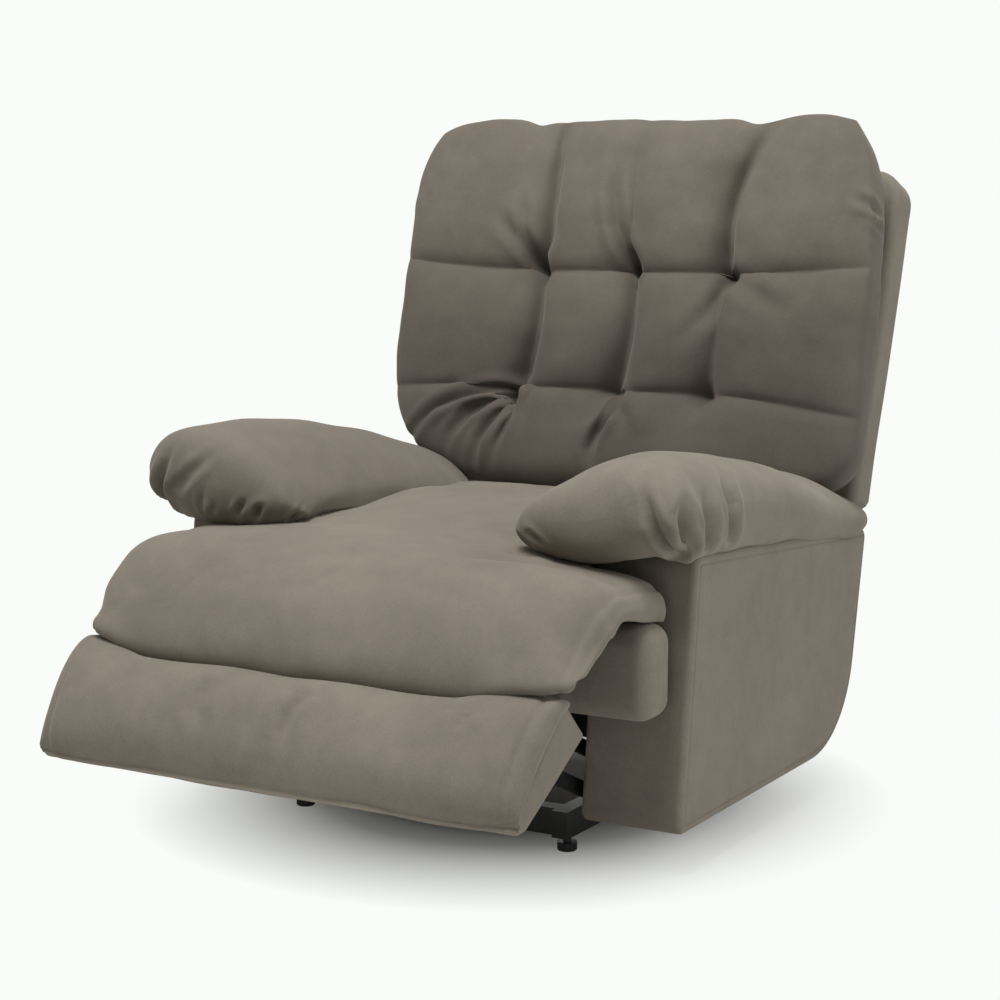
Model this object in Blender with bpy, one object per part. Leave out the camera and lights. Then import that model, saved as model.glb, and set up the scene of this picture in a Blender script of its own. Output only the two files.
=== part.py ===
"""Glider recliner with a chaise footrest, built from its separate pieces.

Metres, +Z up. The chair faces -Y and +X is the sitter's left. Places below are given in the chair's
own frame, whose y = 0 is the foot of the arms' front edge; the chair_frame empty moves that frame so
that the origin lies under the middle of the whole chair, on the floor. The footrest is modelled partly
raised and the back upright.
"""

import math

import bmesh
import bpy
import numpy as np
from mathutils import Matrix, Vector

for old in list(bpy.data.objects):
    bpy.data.objects.remove(old, do_unlink=True)

# Fits
GAP = 0.0003  # left between pieces that touch
RUN = 0.0003  # radial play of a pin in its hole
PIVOT_GAP = 0.001  # between links that slide past each other
SIDES = 16  # sides of a pin or hole

# Whole chair
ARM_FRONT_Y = -0.2888  # the chair frame's y = 0, seen from the middle of the chair
FLOOR_Z = 0.0

# Arm boxes
SEAT_WIDTH = 0.556  # between the inner faces of the arms
ARM_WIDTH = 0.156
ARM_BOTTOM_Z = 0.062
ARM_FRONT_TOP = (0.046, 0.447)
ARM_REAR_TOP = (0.688, 0.402)
ARM_REAR_FOOT_Y = 0.614  # where the rear edge would meet the bottom edge
ARM_REAR_ROUND = 0.165
ARM_PANEL = 0.012  # outer and inner panels
ARM_BOARD = 0.018  # front, top and rear boards between them

# Arm pillows
PILLOW_OVER_SEAT = 0.072  # how far it hangs over the seat
PILLOW_OVER_SIDE = 0.026  # and over the outside of the arm
PILLOW_FRONT_Y = -0.092
PILLOW_REAR_Y = 0.690
PILLOW_TAPER_Y = (0.40, 0.62)  # where its inner side draws back to the arm, beside the back
PILLOW_TOP_Z = 0.581
PILLOW_REAR_TOP_Z = 0.430
PILLOW_NOSE_Z = 0.430  # underside of the front overhang
PILLOW_NOSE_LIP = 0.060  # how far ahead of the arm the pillow's flat underside runs

# Glider base
BASE_RAIL_WIDTH = 0.025
BASE_RAIL_HEIGHT = 0.040
BASE_RAIL_Y = (0.030, 0.602)
CROSSBAR_DEPTH = 0.025
FRONT_FOOT_Y = 0.054
REAR_FOOT_Y = 0.578
FOOT_RADIUS = 0.0145
FOOT_STEM_RADIUS = 0.006
FOOT_PAD_HEIGHT = 0.013
FOOT_HEIGHT = 0.022
POST_THICKNESS = 0.013
POST_HALF_WIDTH = 0.014
GLIDE_FRONT_Y = 0.270
GLIDE_REAR_Y = 0.550
GLIDE_TOP_Z = 0.200
GLIDE_LINK = 0.110  # pivot to pivot
GLIDE_LINK_THICKNESS = 0.006
GLIDE_LINK_HALF_WIDTH = 0.012
GLIDE_PIN_RADIUS = 0.005

# Steel side plates of the carriage
PLATE = 0.004
PLATE_TOP_Z = 0.275
PLATE_BOTTOM_Z = 0.076
PLATE_FRONT_Y = 0.076
PLATE_REAR_Y = 0.592
LUG_RADIUS = 0.024
CROSS_TUBE_RADIUS = 0.012
CROSS_TUBE_Z = 0.238
FRONT_TUBE_Y = 0.340
REAR_TUBE_Y = 0.565

# Wooden seat frame and springs
SIDE_RAIL_WIDTH = 0.040
SEAT_RAIL_HEIGHT = 0.060
SIDE_RAIL_END_Y = 0.566
REAR_RAIL_DEPTH = 0.025
SPRING_WIRE = 0.002  # radius
SPRING_SWAY = 0.024
SPRING_LOOPS = 8
SPRING_PITCH_X = 0.150
SPRING_COUNT = 3

# Padded front rail
FRONT_RAIL_LAP = 0.108  # over each arm's front
FRONT_RAIL_Y = (-0.063, 0.018)
FRONT_RAIL_Z = (0.228, 0.360)
FRONT_RAIL_ROUND = 0.022
LINK_NOTCH_TOP_Z = 0.288

# Seat
SEAT_TOP_Z = 0.465
SEAT_SIDE_GAP = 0.006  # cushion to arm
SEAT_Y = (0.0365, 0.574)
CHAISE_LAP = 0.116  # over each arm's front
CHAISE_REAR_Y = 0.034
CHAISE_REAR_TOP_Z = 0.432
CHAISE_CROWN = 0.020
CHAISE_END_ROUND = 0.026
NOSE_RADIUS = 0.070  # the chaise front turns on the footrest's own centre
NOSE_UNDER = 190.0  # degrees, where the nose's round stops underneath

# Footrest, in its own frame: along is down the board, out is square to it, both from the turning centre
FOOTREST_CENTRE = (-0.1365, 0.360)
FOOTREST_DROP = 44.0  # degrees below level as modelled
BOARD_ALONG = (0.116, 0.312)
BOARD_FACE_OUT = 0.0215
BOARD_BACK_TOP_OUT = -0.054
BOARD_BACK_FOOT_OUT = -0.012
BOARD_INSET = 0.008  # the board is this much narrower than its pad at each end
BOARD_ROUND = 0.008
BOARD_FOOT_BEVEL = (0.016, 0.012)  # taken off the lower back edge, along and out
FOOT_PAD_SWELL = 0.034
FOOT_PAD_CROWN = 0.010
FOOT_PAD_END_ROUND = 0.022
KNEE_BACK = 145.0  # degrees, where the knee pad ends over the nose
KNEE_UNDER = 228.0
KNEE_TURNS = (0, 7, 17, 30, 40, 50)  # degrees from KNEE_BACK
KNEE_RADII = (0.0870, 0.0940, 0.1020, 0.1120, 0.1190, 0.1250)
KNEE_FOOT_OUT = -0.015
KNEE_SEAM_OUT = 0.0457

# Footrest linkage
LINK = 0.005  # thickness of each flat link
LINK_HALF_WIDTH = 0.011
LINK_PIN_RADIUS = 0.005
FRONT_PIVOT = (0.100, 0.250)
REAR_PIVOT = (0.150, 0.230)
BRACKET_PIVOT_ALONG = 0.140
BRACKET_PIVOT_OUT = -0.092
TOP_LINK_SHARE = 0.65  # of the front link's length, where the top link is pinned
BRACKET_FLANGE = 0.030
BRACKET_FLANGE_ALONG = (0.150, 0.230)
BRACKET_PLATE = 0.004
SHAFT_RADIUS = 0.008
HANDLE_LENGTH = 0.125
HANDLE_HALF_WIDTH = 0.014
HANDLE_THICKNESS = 0.013
HANDLE_STANDOFF = 0.003
HANDLE_RISE = 45.0  # degrees above level ahead, as modelled
HANDLE_ROUND = 0.004

# Back, in its own frame: up along the lean and out towards the sitter, both from the hinge
BACK_HINGE = (0.635, 0.370)
BACK_LEAN = 19.3  # degrees
BACK_PANEL_LAP = 0.122  # beyond the arm's inner face
BACK_PANEL_UP = (0.085, 0.682)
BACK_PANEL_OUT = (-0.110, -0.035)
BACK_PANEL_CORNER = 0.050
BACK_PANEL_ROUND = 0.016
BACK_PIN_RADIUS = 0.006
BACK_CUSHION_UP = (0.052, 0.695)
BACK_CUSHION_LAP = 0.162  # beyond the arm's inner face, where it is widest
BACK_CUSHION_FOOT_INSET = 0.016  # inside that face, at its foot
BACK_CUSHION_HEAD_LAP = 0.117  # beyond that face, at its top
BACK_CUSHION_SWELL = 0.150  # how far the puffs stand out from the hinge plane
TUFT_COLUMNS = (-0.175, 0.0, 0.175)
TUFT_ROWS = (0.221, 0.436)
TUFT_DEPTH = 0.098
SEAM_DEPTH = 0.030
TUFT_REACH = 0.040

# Finishes: base colour, roughness, metallic
UPHOLSTERY = ("upholstery", (0.205, 0.175, 0.140), 0.92, 0.0)
BLACK_STEEL = ("black_steel", (0.012, 0.012, 0.013), 0.45, 0.6)
BRIGHT_STEEL = ("zinc_steel", (0.42, 0.42, 0.43), 0.38, 0.9)
HARDWOOD = ("hardwood", (0.46, 0.31, 0.17), 0.65, 0.0)
BLACK_PLASTIC = ("black_plastic", (0.015, 0.015, 0.016), 0.5, 0.0)

# Worked out from the sizes above
ARM_INNER_X = SEAT_WIDTH / 2
ARM_OUTER_X = ARM_INNER_X + ARM_WIDTH
PILLOW_INNER_X = ARM_INNER_X - PILLOW_OVER_SEAT
PILLOW_OUTER_X = ARM_OUTER_X + PILLOW_OVER_SIDE
FRONT_RAIL_HALF_WIDTH = ARM_INNER_X + FRONT_RAIL_LAP
CHAISE_HALF_WIDTH = ARM_INNER_X + CHAISE_LAP
BOARD_HALF_WIDTH = CHAISE_HALF_WIDTH - BOARD_INSET
BACK_PANEL_HALF_WIDTH = ARM_INNER_X + BACK_PANEL_LAP
BACK_CUSHION_WIDEST = ARM_INNER_X + BACK_CUSHION_LAP
BACK_CUSHION_FOOT = ARM_INNER_X - BACK_CUSHION_FOOT_INSET
BACK_CUSHION_HEAD = ARM_INNER_X + BACK_CUSHION_HEAD_LAP
SEAT_RAIL_TOP_Z = PLATE_TOP_Z + GAP + SEAT_RAIL_HEIGHT
GLIDE_LOW_Z = GLIDE_TOP_Z - GLIDE_LINK
BASE_RAIL_Z = (FOOT_HEIGHT + GAP, FOOT_HEIGHT + GAP + BASE_RAIL_HEIGHT)

# Layers from the arm inwards, as (inner x, outer x) on the sitter's left
PLATE_X = (ARM_INNER_X - GAP - PLATE, ARM_INNER_X - GAP)
LINK_X = (PLATE_X[0] - PIVOT_GAP - LINK, PLATE_X[0] - PIVOT_GAP)
LONG_LINK_X = (LINK_X[0] - PIVOT_GAP - LINK, LINK_X[0] - PIVOT_GAP)
TOP_LINK_X = (LONG_LINK_X[0] - PIVOT_GAP - LINK, LONG_LINK_X[0] - PIVOT_GAP)
GLIDE_X = (TOP_LINK_X[0] - 6 * PIVOT_GAP - GLIDE_LINK_THICKNESS, TOP_LINK_X[0] - 6 * PIVOT_GAP)
POST_X = (GLIDE_X[0] - PIVOT_GAP - POST_THICKNESS, GLIDE_X[0] - PIVOT_GAP)
BASE_RAIL_X = (POST_X[1] - BASE_RAIL_WIDTH, POST_X[1])


def turned(centre, angle, radius):
    """The (y, z) point at this angle in degrees, from +Y towards +Z, and radius about a centre."""
    return (
        centre[0] + radius * math.cos(math.radians(angle)),
        centre[1] + radius * math.sin(math.radians(angle)),
    )


def footrest_point(along, out):
    """A (y, z) point of the footrest's own frame, in the chair's frame."""
    drop = math.radians(FOOTREST_DROP)
    return (
        FOOTREST_CENTRE[0] - along * math.cos(drop) - out * math.sin(drop),
        FOOTREST_CENTRE[1] - along * math.sin(drop) + out * math.cos(drop),
    )


def back_point(x, up, out):
    """A point of the back's own frame, in the chair's frame."""
    lean = math.radians(BACK_LEAN)
    return (
        x,
        BACK_HINGE[0] + up * math.sin(lean) - out * math.cos(lean),
        BACK_HINGE[1] + up * math.cos(lean) + out * math.sin(lean),
    )


# The long link only shifts, so its pivots keep one offset from the side plate's and the footrest's centre.
BRACKET_PIVOT = footrest_point(BRACKET_PIVOT_ALONG, BRACKET_PIVOT_OUT)
REACH = (BRACKET_PIVOT[0] - FOOTREST_CENTRE[0], BRACKET_PIVOT[1] - FOOTREST_CENTRE[1])


def reached(pivot, share=1.0):
    """The far end of a link that hangs from this pivot, or a share of the way to it."""
    return (pivot[0] + share * REACH[0], pivot[1] + share * REACH[1])


FRONT_LOW = reached(FRONT_PIVOT)
REAR_LOW = reached(REAR_PIVOT)
TOP_LINK_REAR = reached(FRONT_PIVOT, TOP_LINK_SHARE)
TOP_LINK_FRONT = reached(FOOTREST_CENTRE, TOP_LINK_SHARE)

# Each body's parent and the point on its joint's axis
GLIDE_X_MID = (GLIDE_X[0] + GLIDE_X[1]) / 2
LINK_X_MID = (LINK_X[0] + LINK_X[1]) / 2
BODIES = {
    "base": (None, (0.0, 0.0, 0.0)),
    "glide_link_front_left": ("base", (GLIDE_X_MID, GLIDE_FRONT_Y, GLIDE_TOP_Z)),
    "glide_link_front_right": ("base", (-GLIDE_X_MID, GLIDE_FRONT_Y, GLIDE_TOP_Z)),
    "glide_link_rear_left": ("base", (GLIDE_X_MID, GLIDE_REAR_Y, GLIDE_TOP_Z)),
    "glide_link_rear_right": ("base", (-GLIDE_X_MID, GLIDE_REAR_Y, GLIDE_TOP_Z)),
    "carriage": ("glide_link_front_left", (GLIDE_X_MID, GLIDE_FRONT_Y, GLIDE_LOW_Z)),
    "back": ("carriage", (0.0, *BACK_HINGE)),
    "footrest": ("carriage", (0.0, *FOOTREST_CENTRE)),
    "drive_shaft": ("carriage", (0.0, *REAR_PIVOT)),
}
for hand, sign in (("left", 1), ("right", -1)):
    BODIES["front_link_" + hand] = ("carriage", (sign * LINK_X_MID, *FRONT_PIVOT))
    BODIES["long_link_" + hand] = ("front_link_" + hand, (sign * LINK_X_MID, *FRONT_LOW))
    BODIES["top_link_" + hand] = ("front_link_" + hand, (sign * LINK_X_MID, *TOP_LINK_REAR))

chair_frame = bpy.data.objects.new("chair_frame", None)
chair_frame.location = (0.0, ARM_FRONT_Y, 0.0)
bpy.context.collection.objects.link(chair_frame)
axes = {}
for body, (parent, pivot) in BODIES.items():
    axis = bpy.data.objects.new(body + "_axis", None)
    axis.empty_display_size = 0.03
    bpy.context.collection.objects.link(axis)
    axis.parent = axes[parent] if parent else chair_frame
    start = BODIES[parent][1] if parent else (0.0, 0.0, 0.0)
    axis.location = Vector(pivot) - Vector(start)
    axes[body] = axis


def painted(finish):
    """The material of this finish, made once."""
    name, colour, roughness, metallic = finish
    if name in bpy.data.materials:
        return bpy.data.materials[name]
    material = bpy.data.materials.new(name)
    material.use_nodes = True
    shader = material.node_tree.nodes["Principled BSDF"]
    shader.inputs["Base Color"].default_value = (*colour, 1.0)
    shader.inputs["Roughness"].default_value = roughness
    shader.inputs["Metallic"].default_value = metallic
    return material


def solid(name, points, faces):
    """A new object from points in the chair's frame, with its faces turned outwards."""
    mesh = bpy.data.meshes.new(name)
    mesh.from_pydata([tuple(map(float, point)) for point in points], [], faces)
    work = bmesh.new()
    work.from_mesh(mesh)
    bmesh.ops.recalc_face_normals(work, faces=work.faces)
    work.to_mesh(mesh)
    work.free()
    obj = bpy.data.objects.new(name, mesh)
    bpy.context.collection.objects.link(obj)
    return obj


def settled(obj):
    """The object with its modifiers made part of its mesh."""
    bpy.context.view_layer.update()
    graph = bpy.context.evaluated_depsgraph_get()
    mesh = bpy.data.meshes.new_from_object(obj.evaluated_get(graph))
    obj.modifiers.clear()
    obj.data = mesh
    return obj


def combined(obj, operation, tools):
    """The object joined with the tools, or cut by them."""
    for tool in tools:
        modifier = obj.modifiers.new("combine", "BOOLEAN")
        modifier.operation = operation
        modifier.object = tool
    settled(obj)
    for tool in tools:
        bpy.data.objects.remove(tool)
    return obj


def eased(obj, radius, segments=3):
    """The object with its sharp edges rounded."""
    modifier = obj.modifiers.new("round", "BEVEL")
    modifier.width = radius
    modifier.segments = segments
    modifier.limit_method = "ANGLE"
    modifier.angle_limit = math.radians(40)
    return settled(obj)


def placed(obj, finish, body, sharp=35.0):
    """Finishes an object: its material and shading, and its origin on its body's joint axis."""
    obj.data.materials.clear()
    obj.data.materials.append(painted(finish))
    if obj.type == "MESH":
        obj.data.shade_smooth()
        obj.data.set_sharp_from_angle(angle=math.radians(sharp))
    obj.data.transform(Matrix.Translation(-Vector(BODIES[body][1])))
    obj.parent = axes[body]
    return obj


def prism(name, outline, x_span):
    """A closed (y, z) outline carried along X."""
    count = len(outline)
    points = [(x, y, z) for x in x_span for y, z in outline]
    faces = [tuple(range(count)), tuple(range(count, 2 * count))]
    for i in range(count):
        j = (i + 1) % count
        faces.append((i, j, count + j, count + i))
    return solid(name, points, faces)


def block(name, x_span, y_span, z_span):
    """A plain box."""
    (y0, y1), (z0, z1) = y_span, z_span
    return prism(name, [(y0, z0), (y1, z0), (y1, z1), (y0, z1)], x_span)


def side_span(sign, x_span):
    """A layer's x span on the sitter's left, or its mirror image."""
    return tuple(sorted(sign * x for x in x_span))


def circle(centre, radius, sides=SIDES):
    """A round outline, as a polygon that touches the circle from inside."""
    return [turned(centre, 360 * (i + 0.5) / sides, radius) for i in range(sides)]


def pin(centre, radius, x_span):
    """A round pin along X."""
    return prism("pin", circle(centre, radius), x_span)


def hole(centre, radius, x_span):
    """A cutter for a hole that a pin of this radius turns in."""
    clear = (radius + RUN) / math.cos(math.pi / SIDES)
    return prism("hole", circle(centre, clear), (x_span[0] - 0.002, x_span[1] + 0.002))


def bar_outline(first, last, half_width, steps=7):
    """The outline of a flat bar with round ends about two points."""
    heading = math.degrees(math.atan2(last[1] - first[1], last[0] - first[0]))
    outline = []
    for centre, start in ((last, heading - 90), (first, heading + 90)):
        outline += [turned(centre, start + 180 * i / steps, half_width) for i in range(steps + 1)]
    return outline


def bent_bar_outline(first, middle, last, half_width, steps=7):
    """The outline of a flat bar with round ends that bends a little at its middle point."""
    outline = []
    ways = []
    for a, b in ((first, middle), (middle, last)):
        ways.append(math.degrees(math.atan2(b[1] - a[1], b[0] - a[0])))
    turn = (ways[1] - ways[0] + 180) % 360 - 180
    square = ways[0] + turn / 2
    corner = half_width / math.cos(math.radians(turn / 2))
    outline += [turned(last, ways[1] - 90 + 180 * i / steps, half_width) for i in range(steps + 1)]
    outline.append(turned(middle, square + 90, corner))
    outline += [turned(first, ways[0] + 90 + 180 * i / steps, half_width) for i in range(steps + 1)]
    outline.append(turned(middle, square - 90, corner))
    return outline


def loft(name, rings):
    """Closed rings of equal count joined in order, with a flat end on the first and the last."""
    count = len(rings[0])
    points = [point for ring in rings for point in ring]
    faces = [tuple(range(count))]
    faces.append(tuple(range(len(points) - count, len(points))))
    for r in range(len(rings) - 1):
        for i in range(count):
            j = (i + 1) % count
            low = r * count
            faces.append((low + i, low + j, low + count + j, low + count + i))
    return solid(name, points, faces)


def end_stations(half_width, end_round, middle):
    """Places across the chair for a soft roll's rings, each with how far its ring draws in there."""
    ends = []
    for turn in (80, 55, 30, 0):
        angle = math.radians(turn)
        x = half_width - end_round + end_round * math.sin(angle)
        ends.append((x, end_round * (1 - math.cos(angle))))
    inside = half_width - end_round
    mids = [(inside * (2 * i / middle - 1), 0.0) for i in range(1, middle)]
    return [(-x, drawn) for x, drawn in ends] + mids + [(x, drawn) for x, drawn in reversed(ends)]


def drawn_in(outline, drawn):
    """A (y, z) outline drawn in towards its middle by a distance on every side."""
    ring = np.array(outline)
    low, high = ring.min(axis=0), ring.max(axis=0)
    middle = (low + high) / 2
    return middle + (ring - middle) * (1 - 2 * drawn / (high - low))


def soft_roll(name, section, half_width, end_round, middle=8):
    """A roll across the chair: section(x) is its outline there, drawn in at the two ends."""
    rings = []
    for x, drawn in end_stations(half_width, end_round, middle):
        rings.append([(x, y, z) for y, z in drawn_in(section(x), drawn)])
    return loft(name, rings)


def swell(u, power):
    """One in the middle of a pad and nought at its edge, with a round shoulder."""
    return (1 - np.abs(u) ** power) ** (1 / power)


def pillow(name, across, along, surface):
    """A closed pad: surface(u, v, side) gives its front and rear points, which meet at the rim."""
    grid = [[-1, -0.975, -0.93, *np.linspace(-0.86, 0.86, n - 5), 0.93, 0.975, 1] for n in (across, along)]
    u, v = np.meshgrid(*grid, indexing="ij")
    front, rear = surface(u, v, 1), surface(u, v, -1)
    points = [tuple(point) for point in front.reshape(-1, 3)]
    index = np.arange(len(points)).reshape(u.shape)
    other = index.copy()
    for i in range(1, across):
        for j in range(1, along):
            other[i, j] = len(points)
            points.append(tuple(rear[i, j]))
    faces = []
    for grid in (index, other):
        for i in range(across):
            for j in range(along):
                faces.append((grid[i, j], grid[i + 1, j], grid[i + 1, j + 1], grid[i, j + 1]))
    return solid(name, points, faces)


# Glider base: two side rails with posts, joined by crossbars, on four levelling feet
def foot(name, x, y):
    """A round levelling foot: a wide pad under a narrow stem."""
    stations = (
        (FLOOR_Z, FOOT_RADIUS - 0.0015),
        (FLOOR_Z + 0.0015, FOOT_RADIUS),
        (FLOOR_Z + FOOT_PAD_HEIGHT, FOOT_RADIUS),
        (FLOOR_Z + FOOT_PAD_HEIGHT, FOOT_STEM_RADIUS),
        (FLOOR_Z + FOOT_HEIGHT, FOOT_STEM_RADIUS),
    )
    rings = []
    for z, radius in stations:
        rings.append([(*turned((x, y), 360 * i / SIDES, radius), z) for i in range(SIDES)])
    return loft(name, rings)


def base():
    """The parts that stand on the floor."""
    inner_x = BASE_RAIL_X[0] - GAP
    for name, middle in (("front", FRONT_FOOT_Y), ("rear", REAR_FOOT_Y)):
        span = (middle - CROSSBAR_DEPTH / 2, middle + CROSSBAR_DEPTH / 2)
        bar = block(f"base_{name}_crossbar", (-inner_x, inner_x), span, BASE_RAIL_Z)
        placed(bar, BLACK_STEEL, "base")
    for hand, sign in (("left", 1), ("right", -1)):
        rail = block(f"base_side_rail_{hand}", side_span(sign, BASE_RAIL_X), BASE_RAIL_Y, BASE_RAIL_Z)
        placed(rail, BLACK_STEEL, "base")
        foot_x = sign * (BASE_RAIL_X[0] + BASE_RAIL_X[1]) / 2
        for end, foot_y, post_y in (
            ("front", FRONT_FOOT_Y, GLIDE_FRONT_Y),
            ("rear", REAR_FOOT_Y, GLIDE_REAR_Y),
        ):
            placed(foot(f"foot_{end}_{hand}", foot_x, foot_y), BLACK_PLASTIC, "base")
            head = (post_y, GLIDE_TOP_Z)
            round_head = bar_outline((post_y, BASE_RAIL_Z[1]), head, POST_HALF_WIDTH)
            outline = [(y, max(z, BASE_RAIL_Z[1] + GAP)) for y, z in round_head]
            outline = [outline[0], *outline[1:8], outline[8], outline[-1]]
            span = side_span(sign, POST_X)
            post = prism(f"glide_post_{end}_{hand}", outline, span)
            combined(post, "DIFFERENCE", [hole(head, GLIDE_PIN_RADIUS, span)])
            placed(post, BLACK_STEEL, "base")


def glide_links():
    """Four equal swing links, each with its upper pin in a post and its lower pin in a side plate."""
    for end, y in (("front", GLIDE_FRONT_Y), ("rear", GLIDE_REAR_Y)):
        for hand, sign in (("left", 1), ("right", -1)):
            top, low = (y, GLIDE_TOP_Z), (y, GLIDE_LOW_Z)
            name = f"glide_link_{end}_{hand}"
            link = prism(name, bar_outline(top, low, GLIDE_LINK_HALF_WIDTH), side_span(sign, GLIDE_X))
            upper = pin(top, GLIDE_PIN_RADIUS, side_span(sign, (POST_X[0] + GAP, GLIDE_X_MID)))
            lower = pin(low, GLIDE_PIN_RADIUS, side_span(sign, (GLIDE_X_MID, PLATE_X[1] - GAP)))
            combined(link, "UNION", [upper, lower])
            placed(link, BRIGHT_STEEL, name)


# Carriage: steel side plates, cross tubes, wooden seat frame, arms, cushions
def side_plate(hand, sign):
    """A flat steel plate with the pivots of the glide, the footrest links and the back hinge."""
    span = side_span(sign, PLATE_X)
    lug = [turned(BACK_HINGE, angle, LUG_RADIUS) for angle in range(-20, 201, 20)]
    outline = [
        (PLATE_FRONT_Y, PLATE_TOP_Z),
        (PLATE_FRONT_Y, FRONT_PIVOT[1] - LUG_RADIUS),
        (REAR_PIVOT[0], REAR_PIVOT[1] - LUG_RADIUS),
        (GLIDE_FRONT_Y - LUG_RADIUS, PLATE_BOTTOM_Z),
        (PLATE_REAR_Y - LUG_RADIUS, PLATE_BOTTOM_Z),
        (PLATE_REAR_Y, PLATE_BOTTOM_Z + LUG_RADIUS),
        *lug,
        (SIDE_RAIL_END_Y + GAP, PLATE_TOP_Z),
    ]
    plate = prism(f"side_plate_{hand}", outline, span)
    cuts = [
        hole(REAR_PIVOT, SHAFT_RADIUS, span),
        hole(FRONT_PIVOT, LINK_PIN_RADIUS, span),
        hole(BACK_HINGE, BACK_PIN_RADIUS, span),
        hole((GLIDE_FRONT_Y, GLIDE_LOW_Z), GLIDE_PIN_RADIUS, span),
        hole((GLIDE_REAR_Y, GLIDE_LOW_Z), GLIDE_PIN_RADIUS, span),
    ]
    placed(combined(plate, "DIFFERENCE", cuts), BLACK_STEEL, "carriage")


def arm_outline(inset):
    """The side outline of an arm box, drawn in by a distance: front, top, rear and the round at its foot."""
    foot_front, foot_rear = (0.0, ARM_BOTTOM_Z), (ARM_REAR_FOOT_Y, ARM_BOTTOM_Z)
    corners = [foot_front, ARM_FRONT_TOP, ARM_REAR_TOP, foot_rear]
    moved = []
    for i, corner in enumerate(corners):
        before, after = Vector(corners[i - 1]), Vector(corners[(i + 1) % 4])
        arrive = (Vector(corner) - before).normalized()
        leave = (after - Vector(corner)).normalized()
        half = arrive.angle_signed(leave) / 2
        inward = (leave - arrive).normalized()
        moved.append(Vector(corner) + inward * inset / math.cos(half))
    rear_way = (moved[2] - moved[3]).normalized()
    radius = ARM_REAR_ROUND - inset
    half_corner = rear_way.angle(Vector((-1.0, 0.0))) / 2
    reach = radius / math.tan(half_corner)
    start, stop = moved[3] + rear_way * reach, moved[3] + Vector((-reach, 0.0))
    centre = stop + Vector((0.0, radius))
    first = math.degrees(math.atan2(*(start - centre).yx))
    arc = [turned(centre, first + (-90 - first) * i / 8, radius) for i in range(9)]
    return [tuple(moved[0]), tuple(moved[1]), tuple(moved[2]), *arc]


def nearer(start, goal, distance):
    """The point this far from start on the way to goal."""
    way = Vector(goal) - Vector(start)
    return tuple(Vector(start) + way.normalized() * distance)


def arm(hand, sign):
    """An arm box: two shaped panels with a front, a top and a bent rear board between them."""
    outer, inner = arm_outline(0.0), arm_outline(ARM_BOARD)
    spans = {
        "outer": (ARM_OUTER_X - ARM_PANEL, ARM_OUTER_X),
        "inner": (ARM_INNER_X, ARM_INNER_X + ARM_PANEL),
    }
    for place, x_span in spans.items():
        panel = prism(f"arm_{place}_panel_{hand}", outer, side_span(sign, x_span))
        if hand == "right":
            bore = hole(REAR_PIVOT, SHAFT_RADIUS + PIVOT_GAP, side_span(sign, x_span))
            combined(panel, "DIFFERENCE", [bore])
        placed(panel, UPHOLSTERY, "carriage")
    between = side_span(sign, (spans["inner"][1] + GAP, spans["outer"][0] - GAP))
    below = ARM_BOARD + 2 * GAP
    boards = {
        "front": [
            outer[0],
            nearer(outer[1], outer[0], below),
            nearer(inner[1], inner[0], 2 * GAP),
            inner[0],
        ],
        "top": [outer[1], outer[2], inner[2], inner[1]],
        "rear": [
            nearer(outer[2], outer[3], below),
            *outer[3:],
            *reversed(inner[3:]),
            nearer(inner[2], inner[3], 2 * GAP),
        ],
    }
    for place, outline in boards.items():
        finish = HARDWOOD if place == "top" else UPHOLSTERY
        placed(prism(f"arm_{place}_board_{hand}", outline, between), finish, "carriage")


def arm_top_z(y):
    """The height of the arm box's top edge at this y."""
    (y0, z0), (y1, z1) = ARM_FRONT_TOP, ARM_REAR_TOP
    return z0 + (z1 - z0) * (y - y0) / (y1 - y0)


def pillow_section(y):
    """How plump an arm pillow is at this y, with its underside and its crest there."""
    along = (y - PILLOW_FRONT_Y) / (PILLOW_REAR_Y - PILLOW_FRONT_Y)
    plump = max(0.0, 1 - abs(2 * along - 1) ** 5) ** 0.42
    fall = max(0.0, (along - 0.22) / 0.78) ** 1.5
    crest = PILLOW_TOP_Z + (PILLOW_REAR_TOP_Z - PILLOW_TOP_Z) * fall
    if y < ARM_FRONT_TOP[0] - PILLOW_NOSE_LIP:
        return plump, PILLOW_NOSE_Z, crest
    return plump, arm_top_z(max(y, ARM_FRONT_TOP[0])) + GAP, crest


def arm_pillow(hand, sign):
    """A stuffed arm pillow: round in front, flat where it sits on the arm, lifted clear of the seat."""
    rings = []
    for turn in np.linspace(-80, 80, 17):
        along = (1 + math.sin(math.radians(turn)) / math.sin(math.radians(84))) / 2
        y = PILLOW_FRONT_Y + (PILLOW_REAR_Y - PILLOW_FRONT_Y) * along
        plump, under, crest = pillow_section(y)
        taper = min(1.0, max(0.0, (y - PILLOW_TAPER_Y[0]) / (PILLOW_TAPER_Y[1] - PILLOW_TAPER_Y[0])))
        inner_x = PILLOW_INNER_X + taper * (ARM_INNER_X + SEAT_SIDE_GAP - PILLOW_INNER_X)
        middle_x, half_x = (inner_x + PILLOW_OUTER_X) / 2, (PILLOW_OUTER_X - inner_x) / 2
        centre = under + 0.48 * (crest - under)
        ring = []
        for i in range(24):
            side, rise = turned((0.0, 0.0), 15 * i, 1.0)
            x = middle_x + half_x * (0.45 + 0.55 * plump) * math.copysign(abs(side) ** 0.75, side)
            height = plump * (crest - centre if rise > 0 else centre - under)
            z = centre + height * math.copysign(abs(rise) ** 0.75, rise)
            inside = min(1.0, max(0.0, (ARM_INNER_X + ARM_PANEL - x) / (2 * ARM_PANEL)))
            lifted = under + inside * (min(SEAT_TOP_Z, centre - GAP) - under)
            ring.append((sign * x, y, z if rise > -1e-6 else max(z, lifted)))
        rings.append(ring)
    placed(loft(f"arm_pillow_{hand}", rings), UPHOLSTERY, "carriage", sharp=70)


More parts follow.
